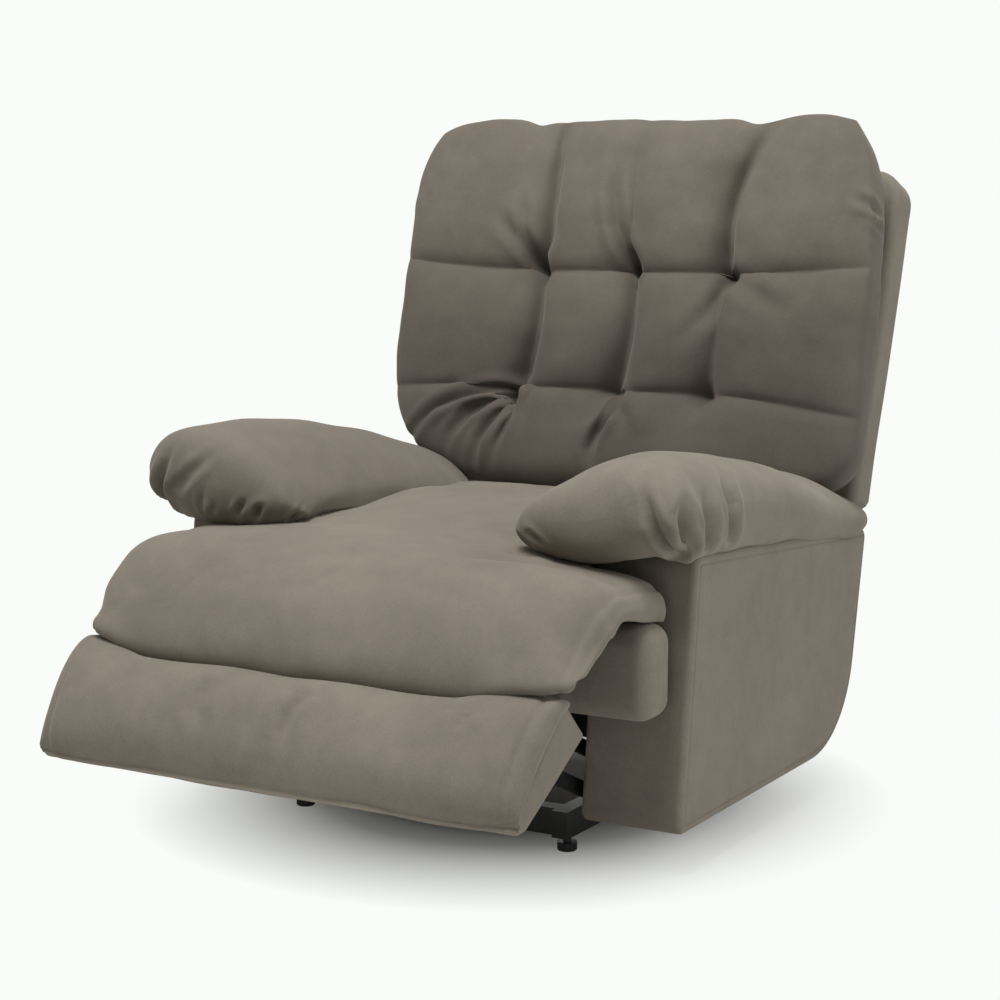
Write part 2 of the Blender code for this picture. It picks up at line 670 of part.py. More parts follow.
def seat_frame():
    """Cross tubes, wooden rails and the springs between the front and the rear rail."""
    tube_end = PLATE_X[0] - GAP
    for end, y in (("front", FRONT_TUBE_Y), ("rear", REAR_TUBE_Y)):
        tube = pin((y, CROSS_TUBE_Z), CROSS_TUBE_RADIUS, (-tube_end, tube_end))
        tube.name = f"{end}_cross_tube"
        placed(tube, BLACK_STEEL, "carriage")
    rail_z = (PLATE_TOP_Z + GAP, SEAT_RAIL_TOP_Z)
    rail_x = (ARM_INNER_X - GAP - SIDE_RAIL_WIDTH, ARM_INNER_X - GAP)
    side_y = (FRONT_RAIL_Y[1] + GAP, SIDE_RAIL_END_Y)
    for hand, sign in (("left", 1), ("right", -1)):
        rail = block(f"seat_side_rail_{hand}", side_span(sign, rail_x), side_y, rail_z)
        placed(rail, HARDWOOD, "carriage")
    across = rail_x[0] - GAP
    rear_y = (SIDE_RAIL_END_Y - REAR_RAIL_DEPTH, SIDE_RAIL_END_Y)
    placed(block("seat_rear_rail", (-across, across), rear_y, rail_z), HARDWOOD, "carriage")
    for i in range(SPRING_COUNT):
        middle_x = SPRING_PITCH_X * (i - (SPRING_COUNT - 1) / 2)
        spring(f"seat_spring_{i + 1}", middle_x, side_y)


def spring(name, middle_x, y_span):
    """A sinuous spring: one wire that sways from side to side from the front rail to the rear rail."""
    curve = bpy.data.curves.new(name, "CURVE")
    curve.dimensions = "3D"
    curve.bevel_depth = SPRING_WIRE
    curve.bevel_resolution = 1
    curve.use_fill_caps = True
    z = SEAT_RAIL_TOP_Z + GAP + SPRING_WIRE
    first, last = y_span[0] + 2 * SPRING_WIRE, y_span[1] - 2 * SPRING_WIRE
    route = [(middle_x, y_span[0])]
    for share in np.linspace(0, 1, 8 * SPRING_LOOPS + 1):
        sway = SPRING_SWAY * math.sin(2 * math.pi * SPRING_LOOPS * share)
        route.append((middle_x + sway, first + (last - first) * share))
    route.append((middle_x, y_span[1]))
    line = curve.splines.new("POLY")
    line.points.add(len(route) - 1)
    for point, (x, y) in zip(line.points, route):
        point.co = (x, y, z, 1.0)
    obj = bpy.data.objects.new(name, curve)
    bpy.context.collection.objects.link(obj)
    placed(obj, BRIGHT_STEEL, "carriage")


def front_rail():
    """The padded rail under the chaise front, notched where the footrest links pass."""
    ends = (-FRONT_RAIL_HALF_WIDTH, FRONT_RAIL_HALF_WIDTH)
    rail = eased(block("front_rail", ends, FRONT_RAIL_Y, FRONT_RAIL_Z), FRONT_RAIL_ROUND)
    notch_y = (FRONT_RAIL_Y[0] - 0.01, FRONT_RAIL_Y[1] + 0.01)
    notch_z = (FRONT_RAIL_Z[0] - 0.01, LINK_NOTCH_TOP_Z)
    notch_x = (TOP_LINK_X[0] - 3 * PIVOT_GAP, LINK_X[1] + 3 * PIVOT_GAP)
    notches = [block("notch", side_span(sign, notch_x), notch_y, notch_z) for sign in (1, -1)]
    placed(combined(rail, "DIFFERENCE", notches), UPHOLSTERY, "carriage")


def seat_cushion():
    """The crowned cushion between the arms, flat below where it rests on the springs."""
    low = SEAT_RAIL_TOP_Z + 2 * GAP + 2 * SPRING_WIRE
    rim = low + 0.45 * (SEAT_TOP_Z - low)
    half_x = ARM_INNER_X - SEAT_SIDE_GAP
    middle_y, half_y = (SEAT_Y[0] + SEAT_Y[1]) / 2, (SEAT_Y[1] - SEAT_Y[0]) / 2

    def surface(u, v, side):
        full = swell(u, 5) * swell(v, 5)
        crown = 0.80 + 0.20 * (1 - u**2) * (1 - v**2)
        draw = 1 - 0.025 * (1 - v**2) * u**2
        height = (SEAT_TOP_Z - rim) * crown if side > 0 else low - rim
        return np.stack([half_x * u * draw, middle_y + half_y * v, rim + height * full], axis=-1)

    placed(pillow("seat_cushion", 18, 18, surface), UPHOLSTERY, "carriage", sharp=70)


def chaise_front():
    """The wide front of the seat: its nose is round about the footrest's turning centre."""
    low = FRONT_RAIL_Z[1] + GAP

    def section(x):
        crown = CHAISE_CROWN * (1 - (x / CHAISE_HALF_WIDTH) ** 2)
        rear_top = CHAISE_REAR_TOP_Z - CHAISE_CROWN / 2 + crown
        nose_top = turned(FOOTREST_CENTRE, 88, NOSE_RADIUS)
        middle = ((CHAISE_REAR_Y + nose_top[0]) / 2, (rear_top + nose_top[1]) / 2 + crown / 3)
        steps = np.linspace(95, NOSE_UNDER, 9)
        nose = [turned(FOOTREST_CENTRE, angle, NOSE_RADIUS) for angle in steps]
        return [
            (CHAISE_REAR_Y, low),
            (CHAISE_REAR_Y, rear_top - 0.012),
            (CHAISE_REAR_Y - 0.012, rear_top),
            middle,
            nose_top,
            *nose,
            (FRONT_RAIL_Y[0] - 0.012, low),
        ]

    roll = soft_roll("chaise_front", section, CHAISE_HALF_WIDTH, CHAISE_END_ROUND)
    placed(roll, UPHOLSTERY, "carriage", sharp=60)


def carriage():
    """Everything that glides."""
    for hand, sign in (("left", 1), ("right", -1)):
        side_plate(hand, sign)
        arm(hand, sign)
        arm_pillow(hand, sign)
    seat_frame()
    front_rail()
    seat_cushion()
    chaise_front()


# Footrest: board, pad, knee pad and the brackets of its linkage
def knee_pad():
    """The knee of the chaise: it rides on the footrest and its hollow side turns about the nose."""
    hollow = NOSE_RADIUS + 2 * GAP
    outer = zip(KNEE_TURNS, KNEE_RADII)
    rise = [turned(FOOTREST_CENTRE, KNEE_BACK + turn, radius) for turn, radius in outer]
    along = BOARD_ALONG[0] - GAP
    under = [turned(FOOTREST_CENTRE, angle, hollow) for angle in np.linspace(KNEE_UNDER, KNEE_BACK, 9)]
    outline = [*rise, footrest_point(along, KNEE_SEAM_OUT), footrest_point(along, KNEE_FOOT_OUT), *under]

    roll = soft_roll("knee_pad", lambda x: outline, CHAISE_HALF_WIDTH, CHAISE_END_ROUND)
    placed(roll, UPHOLSTERY, "footrest", sharp=60)


def footrest_pad():
    """The stuffed pad on the footrest board, crowned across and along."""
    low = BOARD_FACE_OUT + GAP
    start, stop = BOARD_ALONG[0], BOARD_ALONG[1] + 0.004

    def section(x):
        crown = FOOT_PAD_CROWN * (1 - (x / CHAISE_HALF_WIDTH) ** 2)
        outline = [footrest_point(start, low)]
        for share in (0.0, 0.06, 0.16, 0.32, 0.5, 0.68, 0.83, 0.94, 1.0):
            bulge = math.sin(math.pi * (0.12 + 0.88 * share) ** 0.72) ** 0.55 if share < 1 else 0.1
            along = start + (stop - start) * share
            outline.append(footrest_point(along, low + (FOOT_PAD_SWELL + crown) * bulge))
        outline.append(footrest_point(stop, low))
        return outline

    roll = soft_roll("footrest_pad", section, CHAISE_HALF_WIDTH, FOOT_PAD_END_ROUND)
    placed(roll, UPHOLSTERY, "footrest", sharp=60)


def footrest():
    """The board and what is fixed to it."""
    top, end = BOARD_ALONG
    outline = [
        footrest_point(top, BOARD_FACE_OUT),
        footrest_point(top, BOARD_BACK_TOP_OUT),
        footrest_point(end - BOARD_FOOT_BEVEL[0], BOARD_BACK_FOOT_OUT),
        footrest_point(end, BOARD_BACK_FOOT_OUT + BOARD_FOOT_BEVEL[1]),
        footrest_point(end, BOARD_FACE_OUT),
    ]
    board = prism("footrest_board", outline, (-BOARD_HALF_WIDTH, BOARD_HALF_WIDTH))
    placed(eased(board, BOARD_ROUND, 2), UPHOLSTERY, "footrest")
    knee_pad()
    footrest_pad()
    for hand, sign in (("left", 1), ("right", -1)):
        footrest_bracket(hand, sign)


def board_back(along):
    """How far out the board's sloping back face lies at this place along it."""
    (top, end), rise = BOARD_ALONG, BOARD_BACK_FOOT_OUT - BOARD_BACK_TOP_OUT
    return BOARD_BACK_TOP_OUT + rise * (along - top) / (end - BOARD_FOOT_BEVEL[0] - top)


def footrest_bracket(hand, sign):
    """A steel bracket: two pinned lugs on a web, and a flange along the back of the board."""
    span = side_span(sign, LINK_X)
    name = f"footrest_bracket_{hand}"
    bar = prism(name, bar_outline(TOP_LINK_FRONT, BRACKET_PIVOT, LINK_HALF_WIDTH), span)
    first, last = BRACKET_FLANGE_ALONG
    face = [footrest_point(a, board_back(a) - GAP) for a in (first, last)]
    rear = [footrest_point(a, board_back(a) - GAP - BRACKET_PLATE) for a in (last, first)]
    web_outline = [*face, footrest_point(BRACKET_PIVOT_ALONG, BRACKET_PIVOT_OUT)]
    web = prism("web", web_outline, (span[0] + 0.0005, span[1] - 0.0005))
    flange_x = (LINK_X[1] - BRACKET_FLANGE, LINK_X[1] - 0.0002)
    flange = prism("flange", [*face, *rear], side_span(sign, flange_x))
    pivot = pin(BRACKET_PIVOT, LINK_PIN_RADIUS, side_span(sign, (LONG_LINK_X[0] + GAP, LINK_X_MID)))
    upper = pin(TOP_LINK_FRONT, LINK_PIN_RADIUS, side_span(sign, (TOP_LINK_X[0] + GAP, LINK_X_MID)))
    combined(bar, "UNION", [web, flange, pivot, upper])
    placed(bar, BRIGHT_STEEL, "footrest")


# Footrest linkage and its drive
def linkage():
    """On each side a front link and a rear link carry the long link, and a top link keeps the angle."""
    for hand, sign in (("left", 1), ("right", -1)):
        span = side_span(sign, LINK_X)
        front_name = "front_link_" + hand
        front = prism(front_name, bar_outline(FRONT_PIVOT, FRONT_LOW, LINK_HALF_WIDTH), span)
        pins = [
            pin(FRONT_PIVOT, LINK_PIN_RADIUS, side_span(sign, (LINK_X_MID, PLATE_X[1] - GAP))),
            pin(FRONT_LOW, LINK_PIN_RADIUS, side_span(sign, (LONG_LINK_X[0] + GAP, LINK_X_MID))),
            pin(TOP_LINK_REAR, LINK_PIN_RADIUS, side_span(sign, (TOP_LINK_X[0] + GAP, LINK_X_MID))),
        ]
        placed(combined(front, "UNION", pins), BRIGHT_STEEL, front_name)

        long_span, long_name = side_span(sign, LONG_LINK_X), "long_link_" + hand
        outline = bent_bar_outline(REAR_LOW, FRONT_LOW, BRACKET_PIVOT, LINK_HALF_WIDTH)
        long_link = prism(long_name, outline, long_span)
        ends = (REAR_LOW, FRONT_LOW, BRACKET_PIVOT)
        combined(long_link, "DIFFERENCE", [hole(end, LINK_PIN_RADIUS, long_span) for end in ends])
        placed(long_link, BRIGHT_STEEL, long_name)

        top_span, top_name = side_span(sign, TOP_LINK_X), "top_link_" + hand
        ends = (TOP_LINK_REAR, TOP_LINK_FRONT)
        top_link = prism(top_name, bar_outline(*ends, LINK_HALF_WIDTH), top_span)
        combined(top_link, "DIFFERENCE", [hole(end, LINK_PIN_RADIUS, top_span) for end in ends])
        placed(top_link, BRIGHT_STEEL, top_name)

        rear = prism("rear_link_" + hand, bar_outline(REAR_PIVOT, REAR_LOW, LINK_HALF_WIDTH), span)
        low_pin = pin(REAR_LOW, LINK_PIN_RADIUS, side_span(sign, (LONG_LINK_X[0] + GAP, LINK_X_MID)))
        combined(rear, "UNION", [low_pin])
        combined(rear, "DIFFERENCE", [hole(REAR_PIVOT, SHAFT_RADIUS, span)])
        placed(rear, BRIGHT_STEEL, "drive_shaft")


def drive():
    """The shaft that ties the two linkages together, and the release handle on its right end."""
    handle_in = -ARM_OUTER_X - HANDLE_STANDOFF
    handle_out = handle_in - HANDLE_THICKNESS
    shaft = pin(REAR_PIVOT, SHAFT_RADIUS, (handle_in + GAP, PLATE_X[1] - GAP))
    shaft.name = "drive_shaft"
    tenon = pin(REAR_PIVOT, SHAFT_RADIUS / 2, (handle_out + GAP, handle_in + 0.002))
    placed(combined(shaft, "UNION", [tenon]), BRIGHT_STEEL, "drive_shaft")
    tip = turned(REAR_PIVOT, 180 - HANDLE_RISE, HANDLE_LENGTH)
    span = (handle_out, handle_in)
    lever = prism("release_handle", bar_outline(REAR_PIVOT, tip, HANDLE_HALF_WIDTH), span)
    eased(lever, HANDLE_ROUND, 2)
    combined(lever, "DIFFERENCE", [hole(REAR_PIVOT, SHAFT_RADIUS / 2, span)])
    placed(lever, BLACK_PLASTIC, "drive_shaft")


# Back: outer panel, tufted cushion and the hinge brackets
def back_panel():
    """The padded outer back: a slab with round upper corners."""
    low, high = BACK_PANEL_UP
    half, corner = BACK_PANEL_HALF_WIDTH, BACK_PANEL_CORNER
    outline = [(-half, low), (half, low)]
    for centre_x, start in ((half - corner, 0), (corner - half, 90)):
        outline += [turned((centre_x, high - corner), start + 90 * i / 5, corner) for i in range(6)]
    count = len(outline)
    points = [back_point(x, up, out) for out in BACK_PANEL_OUT for x, up in outline]
    faces = [tuple(range(count)), tuple(range(count, 2 * count))]
    for i in range(count):
        j = (i + 1) % count
        faces.append((i, j, count + j, count + i))
    panel = solid("back_panel", points, faces)
    placed(eased(panel, BACK_PANEL_ROUND), UPHOLSTERY, "back")


def back_half_width(v):
    """Half the back cushion's width from its foot, v = -1, to its top, v = 1."""
    ends = np.where(v < 0.1, BACK_CUSHION_FOOT, BACK_CUSHION_HEAD)
    away = np.abs(v - 0.1) / np.where(v < 0.1, 1.1, 0.9)
    return ends + (BACK_CUSHION_WIDEST - ends) * (1 - away ** np.where(v < 0.1, 6, 4))


def back_cushion():
    """The stuffed back: puffs between two cross seams and three creases, drawn in most where they meet."""
    low, high = BACK_CUSHION_UP
    flat = BACK_PANEL_OUT[1] + GAP

    def surface(u, v, side):
        rim = flat + (0.74 + 0.13 * v) * (BACK_CUSHION_SWELL - flat)
        up = (low + high) / 2 + (high - low) / 2 * v * (1 - 0.03 * u**2)
        x = back_half_width(v) * u
        full = swell(u, 3.5) * swell(v, 3.5)
        if side < 0:
            return np.stack(back_point(x, up, rim + (flat - rim) * full), axis=-1)
        column = np.min([np.abs(x - place) for place in TUFT_COLUMNS], axis=0)
        row = np.min([np.abs(up - place) for place in TUFT_ROWS], axis=0)
        seam = np.exp(-((row / TUFT_REACH) ** 2))
        crease = np.exp(-((column / TUFT_REACH) ** 2)) * (0.45 + 0.55 * seam)
        sunk = SEAM_DEPTH * np.maximum(seam, crease) + (TUFT_DEPTH - SEAM_DEPTH) * seam * crease
        out = rim + (BACK_CUSHION_SWELL - rim - sunk) * full
        return np.stack(back_point(x, up, out), axis=-1)

    placed(pillow("back_cushion", 24, 24, surface), UPHOLSTERY, "back", sharp=70)


def back_bracket(hand, sign):
    """A steel arm from the hinge pin to a flange under the foot of the outer panel."""
    span = side_span(sign, LINK_X)
    foot_up = BACK_PANEL_UP[0] - GAP
    rear, front = BACK_PANEL_OUT[0] + 0.010, BACK_PANEL_OUT[1] - 0.010
    flange_outline = [
        back_point(0, foot_up, rear)[1:],
        back_point(0, foot_up, front)[1:],
        back_point(0, foot_up - BRACKET_PLATE, front)[1:],
        back_point(0, foot_up - BRACKET_PLATE, rear)[1:],
    ]
    knee = back_point(0, foot_up - LINK_HALF_WIDTH - BRACKET_PLATE, (rear + front) / 2)[1:]
    arm_bar = prism(f"back_bracket_{hand}", bar_outline(BACK_HINGE, knee, LINK_HALF_WIDTH), span)
    web_outline = [*flange_outline[:2], BACK_HINGE, knee]
    web = prism("web", web_outline, (span[0] + 0.0005, span[1] - 0.0005))
    flange_x = (LINK_X[1] - BRACKET_FLANGE, LINK_X[1] - 0.0002)
    flange = prism("flange", flange_outline, side_span(sign, flange_x))
    hinge = pin(BACK_HINGE, BACK_PIN_RADIUS, side_span(sign, (LINK_X_MID, PLATE_X[1] - GAP)))
    combined(arm_bar, "UNION", [web, flange, hinge])
    placed(arm_bar, BLACK_STEEL, "back")


def back():
    """Everything that reclines."""
    back_panel()
    back_cushion()
    for hand, sign in (("left", 1), ("right", -1)):
        back_bracket(hand, sign)


base()
glide_links()
carriage()
footrest()
linkage()
drive()
back()
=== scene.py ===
import math

import bmesh
import bpy
import numpy as np
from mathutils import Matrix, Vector


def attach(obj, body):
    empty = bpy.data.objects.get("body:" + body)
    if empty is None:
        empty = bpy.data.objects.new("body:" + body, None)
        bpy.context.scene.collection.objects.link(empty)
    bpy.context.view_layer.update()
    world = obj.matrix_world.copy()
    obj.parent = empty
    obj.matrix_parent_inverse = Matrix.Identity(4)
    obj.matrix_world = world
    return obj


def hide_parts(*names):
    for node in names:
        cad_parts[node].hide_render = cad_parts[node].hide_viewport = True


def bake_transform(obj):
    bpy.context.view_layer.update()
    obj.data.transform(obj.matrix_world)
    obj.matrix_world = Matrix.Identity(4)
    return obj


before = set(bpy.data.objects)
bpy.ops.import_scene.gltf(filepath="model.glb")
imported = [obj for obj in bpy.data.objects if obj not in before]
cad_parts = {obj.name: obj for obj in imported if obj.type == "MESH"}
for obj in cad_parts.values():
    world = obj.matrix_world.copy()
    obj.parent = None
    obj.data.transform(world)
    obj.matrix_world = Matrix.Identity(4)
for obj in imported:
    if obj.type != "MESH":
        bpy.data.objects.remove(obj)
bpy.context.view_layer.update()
scene = bpy.context.scene

# Glider base, side plates and hinge brackets
# Square tube, flat bar and plate, cut, welded and powder coated satin black.
# The coat is a little grainy, holds some pale dust and is duller where hands and shoes rub it.
COAT_COLOUR = (0.014, 0.014, 0.015, 1.0)
DUST_COLOUR = (0.105, 0.098, 0.088, 1.0)
COAT_GRAIN = 0.0004  # metres


def adjusted(node, values):
    """A shader node with values set by name, on the node itself or on its inputs."""
    for name, value in values.items():
        if hasattr(node, name):
            setattr(node, name, value)
        else:
            node.inputs[name].default_value = value
    return node


def added(tree, kind, links=(), **values):
    """A new node of a shader tree with these values; links are (input, socket) pairs to join."""
    node = adjusted(tree.nodes.new(kind), values)
    for place, socket in links:
        tree.links.new(socket, node.inputs[place])
    return node


def effect_group(name, inputs, outputs):
    """A shader node group with these (name, kind) sockets: its tree, its inputs and its outputs."""
    tree = bpy.data.node_groups.new(name, "ShaderNodeTree")
    for way, sockets in (("INPUT", inputs), ("OUTPUT", outputs)):
        for label, kind in sockets:
            tree.interface.new_socket(label, in_out=way, socket_type="NodeSocket" + kind)
    return tree, tree.nodes.new("NodeGroupInput").outputs, tree.nodes.new("NodeGroupOutput").inputs


def grained(tree, vector, scale, detail, roughness=0.55):
    """Fractal noise at a scale, as a value socket around one half."""
    values = {"Scale": scale, "Detail": detail, "Roughness": roughness}
    return added(tree, "ShaderNodeTexNoise", [("Vector", vector)], **values).outputs["Fac"]


def ranged(tree, value, low, high, least, most):
    """A value socket carried from low..high to least..most, and held there."""
    values = {"From Min": low, "From Max": high, "To Min": least, "To Max": most}
    return added(tree, "ShaderNodeMapRange", [("Value", value)], **values).outputs["Result"]


def mixed(tree, share, first, second):
    """Two colours, sockets or values, mixed by a share socket."""
    node = added(tree, "ShaderNodeMix", [("Factor", share)], data_type="RGBA")
    for place, colour in ((6, first), (7, second)):
        if isinstance(colour, tuple):
            node.inputs[place].default_value = colour
        else:
            tree.links.new(colour, node.inputs[place])
    return node.outputs[2]


def reckoned(tree, operation, first, second):
    """A maths node on two value sockets, as a value socket."""
    return added(tree, "ShaderNodeMath", [(0, first), (1, second)], operation=operation).outputs[0]


def bumped(tree, shader, height, strength, distance):
    """Joins a height socket to a shader's normal."""
    bump = added(tree, "ShaderNodeBump", [("Height", height)], Strength=strength, Distance=distance)
    tree.links.new(bump.outputs["Normal"], shader.inputs["Normal"])


def finish_of(name):
    """A new material with its tree, its shader and the object coordinates of the piece."""
    material = bpy.data.materials.new(name)
    material.use_nodes = True
    tree = material.node_tree
    where = added(tree, "ShaderNodeTexCoord").outputs["Object"]
    return material, tree, tree.nodes["Principled BSDF"], where


# Dust and rub marks: broad noise times fine noise gives the patches, and the patches dull the coat.
tree, given, out = effect_group(
    "rubbed_coat",
    [("Vector", "Vector"), ("Coat", "Color"), ("Rub", "Color"), ("Amount", "Float")],
    [("Color", "Color"), ("Roughness", "Float"), ("Height", "Float")],
)
patches = ranged(tree, grained(tree, given["Vector"], 14.0, 6.0, 0.65), 0.45, 0.72, 0.0, 1.0)
flecks = ranged(tree, grained(tree, given["Vector"], 210.0, 3.0), 0.4, 0.7, 0.25, 1.0)
share = reckoned(tree, "MULTIPLY", reckoned(tree, "MULTIPLY", patches, flecks), given["Amount"])
tree.links.new(mixed(tree, share, given["Coat"], given["Rub"]), out["Color"])
tree.links.new(ranged(tree, share, 0.0, 1.0, 0.36, 0.8), out["Roughness"])
tree.links.new(grained(tree, given["Vector"], 900.0, 2.0), out["Height"])
RUBBED_COAT = tree


def with_effect(tree, shader, where, effect, bump, depth, **values):
    """Puts a shared effect group before a shader, which takes its colour, roughness and height."""
    group = added(tree, "ShaderNodeGroup", [("Vector", where)], node_tree=effect, **values)
    tree.links.new(group.outputs["Color"], shader.inputs["Base Color"])
    tree.links.new(group.outputs["Roughness"], shader.inputs["Roughness"])
    bumped(tree, shader, group.outputs["Height"], bump, depth)
    return group


def rubbed_finish(name, coat, rub, amount, metallic, bump):
    """A painted, plated or moulded finish: its colour with rub marks from the shared group."""
    material, tree, shader, where = finish_of(name)
    with_effect(tree, shader, where, RUBBED_COAT, bump, COAT_GRAIN, Coat=coat, Rub=rub, Amount=amount)
    adjusted(shader, {"Metallic": metallic})
    return material


def dressed(material, *starts):
    """Puts a material on every frame node whose name begins with one of these words."""
    for name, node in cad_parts.items():
        if name.startswith(starts):
            node.data.materials.clear()
            node.data.materials.append(material)


dressed(
    rubbed_finish("satin_black_coat", COAT_COLOUR, DUST_COLOUR, 0.55, 0.0, 0.35),
    "base_", "glide_post", "side_plate", "front_cross", "rear_cross", "back_bracket",
)

# Levelling feet and release handle
# Moulded black nylon with a fine spark-eroded grain; the feet screw up into the base rails.
NYLON_COLOUR = (0.02, 0.02, 0.021, 1.0)

dressed(
    rubbed_finish("black_nylon", NYLON_COLOUR, DUST_COLOUR, 0.4, 0.0, 0.6),
    "foot_front", "foot_rear", "release_handle",
)

# Swing links, footrest linkage, drive shaft and seat springs
# Stamped bar and drawn wire, black zinc plated; the plating is cloudy, with grey patches.
ZINC_COLOUR = (0.03, 0.03, 0.032, 1.0)
ZINC_CLOUD = (0.085, 0.084, 0.082, 1.0)

dressed(
    rubbed_finish("black_zinc", ZINC_COLOUR, ZINC_CLOUD, 0.6, 0.35, 0.2),
    "glide_link", "front_link", "rear_link", "long_link", "top_link", "drive_shaft",
    "footrest_bracket", "seat_spring",
)

# Seat rails
# Planed hardwood, left bare: long growth lines run with the rail, with short dark pores.
PALE_WOOD = (0.5, 0.345, 0.195, 1.0)
DARK_WOOD = (0.3, 0.185, 0.092, 1.0)
PORE_COLOUR = (0.16, 0.09, 0.045, 1.0)

material, tree, shader, where = finish_of("bare_hardwood")
stretched = added(tree, "ShaderNodeMapping", [("Vector", where)], Scale=(9.0, 0.8, 9.0))
lines = grained(tree, stretched.outputs["Vector"], 6.0, 8.0, 0.6)
pores = added(tree, "ShaderNodeMapping", [("Vector", where)], Scale=(60.0, 5.0, 60.0))
specks = grained(tree, pores.outputs["Vector"], 9.0, 2.0)
wood = mixed(tree, ranged(tree, lines, 0.35, 0.65, 0.0, 1.0), DARK_WOOD, PALE_WOOD)
wood = mixed(tree, ranged(tree, specks, 0.6, 0.72, 0.0, 0.6), wood, PORE_COLOUR)
tree.links.new(wood, shader.inputs["Base Color"])
tree.links.new(ranged(tree, lines, 0.3, 0.7, 0.52, 0.72), shader.inputs["Roughness"])
bumped(tree, shader, specks, 0.25, 0.0006)
dressed(material, "seat_side_rail", "seat_rear_rail")

# Arm boxes
# Wooden boxes fixed to the carriage, under thin wadding and warm grey polyester suede that is pulled tight.
# The side panel is sewn to the strip round the edge a finger's width in from the corner.
CHAIR_Y = -0.2888  # the chair's own y = 0, at the foot of the arms' front edge
SUEDE_COLOUR = (0.222, 0.193, 0.157)
SUEDE_SHEEN = (0.86, 0.78, 0.68, 1.0)
SUEDE_CLOUDS = 0.21  # how strongly the clouds tell
NAP_DEPTH = 0.0012  # metres
ARM_X = (0.2782, 0.4345)
ARM_CORNERS = ((0.0, 0.062), (0.046, 0.447), (0.688, 0.402), (0.614, 0.062))
ARM_ROUNDS = (0.0155, 0.0165, 0.0165, 0.165)
ARM_EDGE = 0.009  # round along the panel's edge
ARM_STITCH = ((0.0022, 0.0), (0.0036, 0.0014), (0.005, 0.0))  # past that round: how far in, how deep

# Suede: broad clouds where the nap lies differently, smaller blotches, and the fine nap itself.
tree, given, out = effect_group(
    "suede_nap",
    [("Vector", "Vector"), ("Colour", "Color"), ("Clouds", "Float")],
    [("Color", "Color"), ("Roughness", "Float"), ("Height", "Float")],
)
clouds = grained(tree, given["Vector"], 4.2, 4.0, 0.6)
blotches = grained(tree, given["Vector"], 27.0, 5.0, 0.62)
brushed = added(tree, "ShaderNodeMapping", [("Vector", given["Vector"])], Scale=(1.0, 1.0, 0.45))
nap = grained(tree, brushed.outputs["Vector"], 620.0, 2.0)
cloud_tone = ranged(tree, clouds, 0.3, 0.7, -0.5, 0.5)
blotch_tone = ranged(tree, blotches, 0.3, 0.7, -0.42, 0.42)
tone = reckoned(tree, "MULTIPLY", reckoned(tree, "ADD", cloud_tone, blotch_tone), given["Clouds"])
tone = reckoned(tree, "ADD", tone, ranged(tree, nap, 0.25, 0.75, 0.9, 1.1))
toned = added(tree, "ShaderNodeVectorMath", [(0, given["Colour"]), ("Scale", tone)], operation="SCALE")
tree.links.new(toned.outputs[0], out["Color"])
tree.links.new(ranged(tree, blotches, 0.3, 0.7, 0.8, 0.95), out["Roughness"])
tree.links.new(nap, out["Height"])
SUEDE_NAP = tree


def suede_finish(name, painted_shade=((0.0, 1.0), (2.0, 1.0))):
    """Suede with painted shade: its colour darkened by a factor that changes with height; two heights and
    the factor at each.
    """
    material, tree, shader, where = finish_of(name)
    group = with_effect(tree, shader, where, SUEDE_NAP, 0.22, NAP_DEPTH, Clouds=SUEDE_CLOUDS)
    height = added(tree, "ShaderNodeSeparateXYZ", [("Vector", where)]).outputs["Z"]
    (low, low_shade), (high, high_shade) = painted_shade
    shade = ranged(tree, height, low, high, low_shade, high_shade)
    colour = added(tree, "ShaderNodeVectorMath", [("Scale", shade)], operation="SCALE")
    colour.inputs[0].default_value = SUEDE_COLOUR
    tree.links.new(colour.outputs[0], group.inputs["Colour"])
    adjusted(shader, {"Specular IOR Level": 0.25, "Sheen Weight": 0.22})
    adjusted(shader, {"Sheen Roughness": 0.45, "Sheen Tint": SUEDE_SHEEN})
    return material


suede = suede_finish("warm_grey_suede")


def shown(name, data):
    """A new object of the scene."""
    thing = bpy.data.objects.new(name, data)
    scene.collection.objects.link(thing)
    return thing


def sewn(name, points, quads, fixed=None):
    """A mesh piece from points in the chair's frame: doubles are merged and faces turned outwards.
    fixed marks the points that are fastened down."""
    mesh = bpy.data.meshes.new(name)
    mesh.from_pydata((points + (0.0, CHAIR_Y, 0.0)).tolist(), [], quads.tolist())
    if fixed is not None:
        mesh.attributes.new("fixed", "FLOAT", "POINT").data.foreach_set("value", fixed.astype(np.float32))
    work = bmesh.new()
    work.from_mesh(mesh)
    bmesh.ops.remove_doubles(work, verts=work.verts, dist=0.00003)
    bmesh.ops.delete(work, geom=[v for v in work.verts if not v.link_faces], context="VERTS")
    bmesh.ops.recalc_face_normals(work, faces=work.faces)
    work.to_mesh(mesh)
    work.free()
    return shown(name, mesh)


def cells(index):
    """The quads between the neighbours of a grid of point numbers."""
    corners = [index[:-1, :-1], index[1:, :-1], index[1:, 1:], index[:-1, 1:]]
    return np.stack(corners, axis=-1).reshape(-1, 4)


def wrapped(name, rings):
    """A closed skin over rings of points, rows by places round; the first and last row are points."""
    index = np.arange(rings.shape[0] * rings.shape[1]).reshape(rings.shape[:2])
    return sewn(name, rings.reshape(-1, 3), cells(np.hstack([index, index[:, :1]])))


def listed(items, label, width=3, kind=np.float32):
    """One property of all of a mesh's points, edges or normals, a row for each."""
    found = np.empty(width * len(items), kind)
    items.foreach_get(label, found)
    return found.reshape(-1, width)


def places(piece):
    """The piece's points in the chair's frame."""
    return listed(piece.data.vertices, "co").astype(float) - (0.0, CHAIR_Y, 0.0)


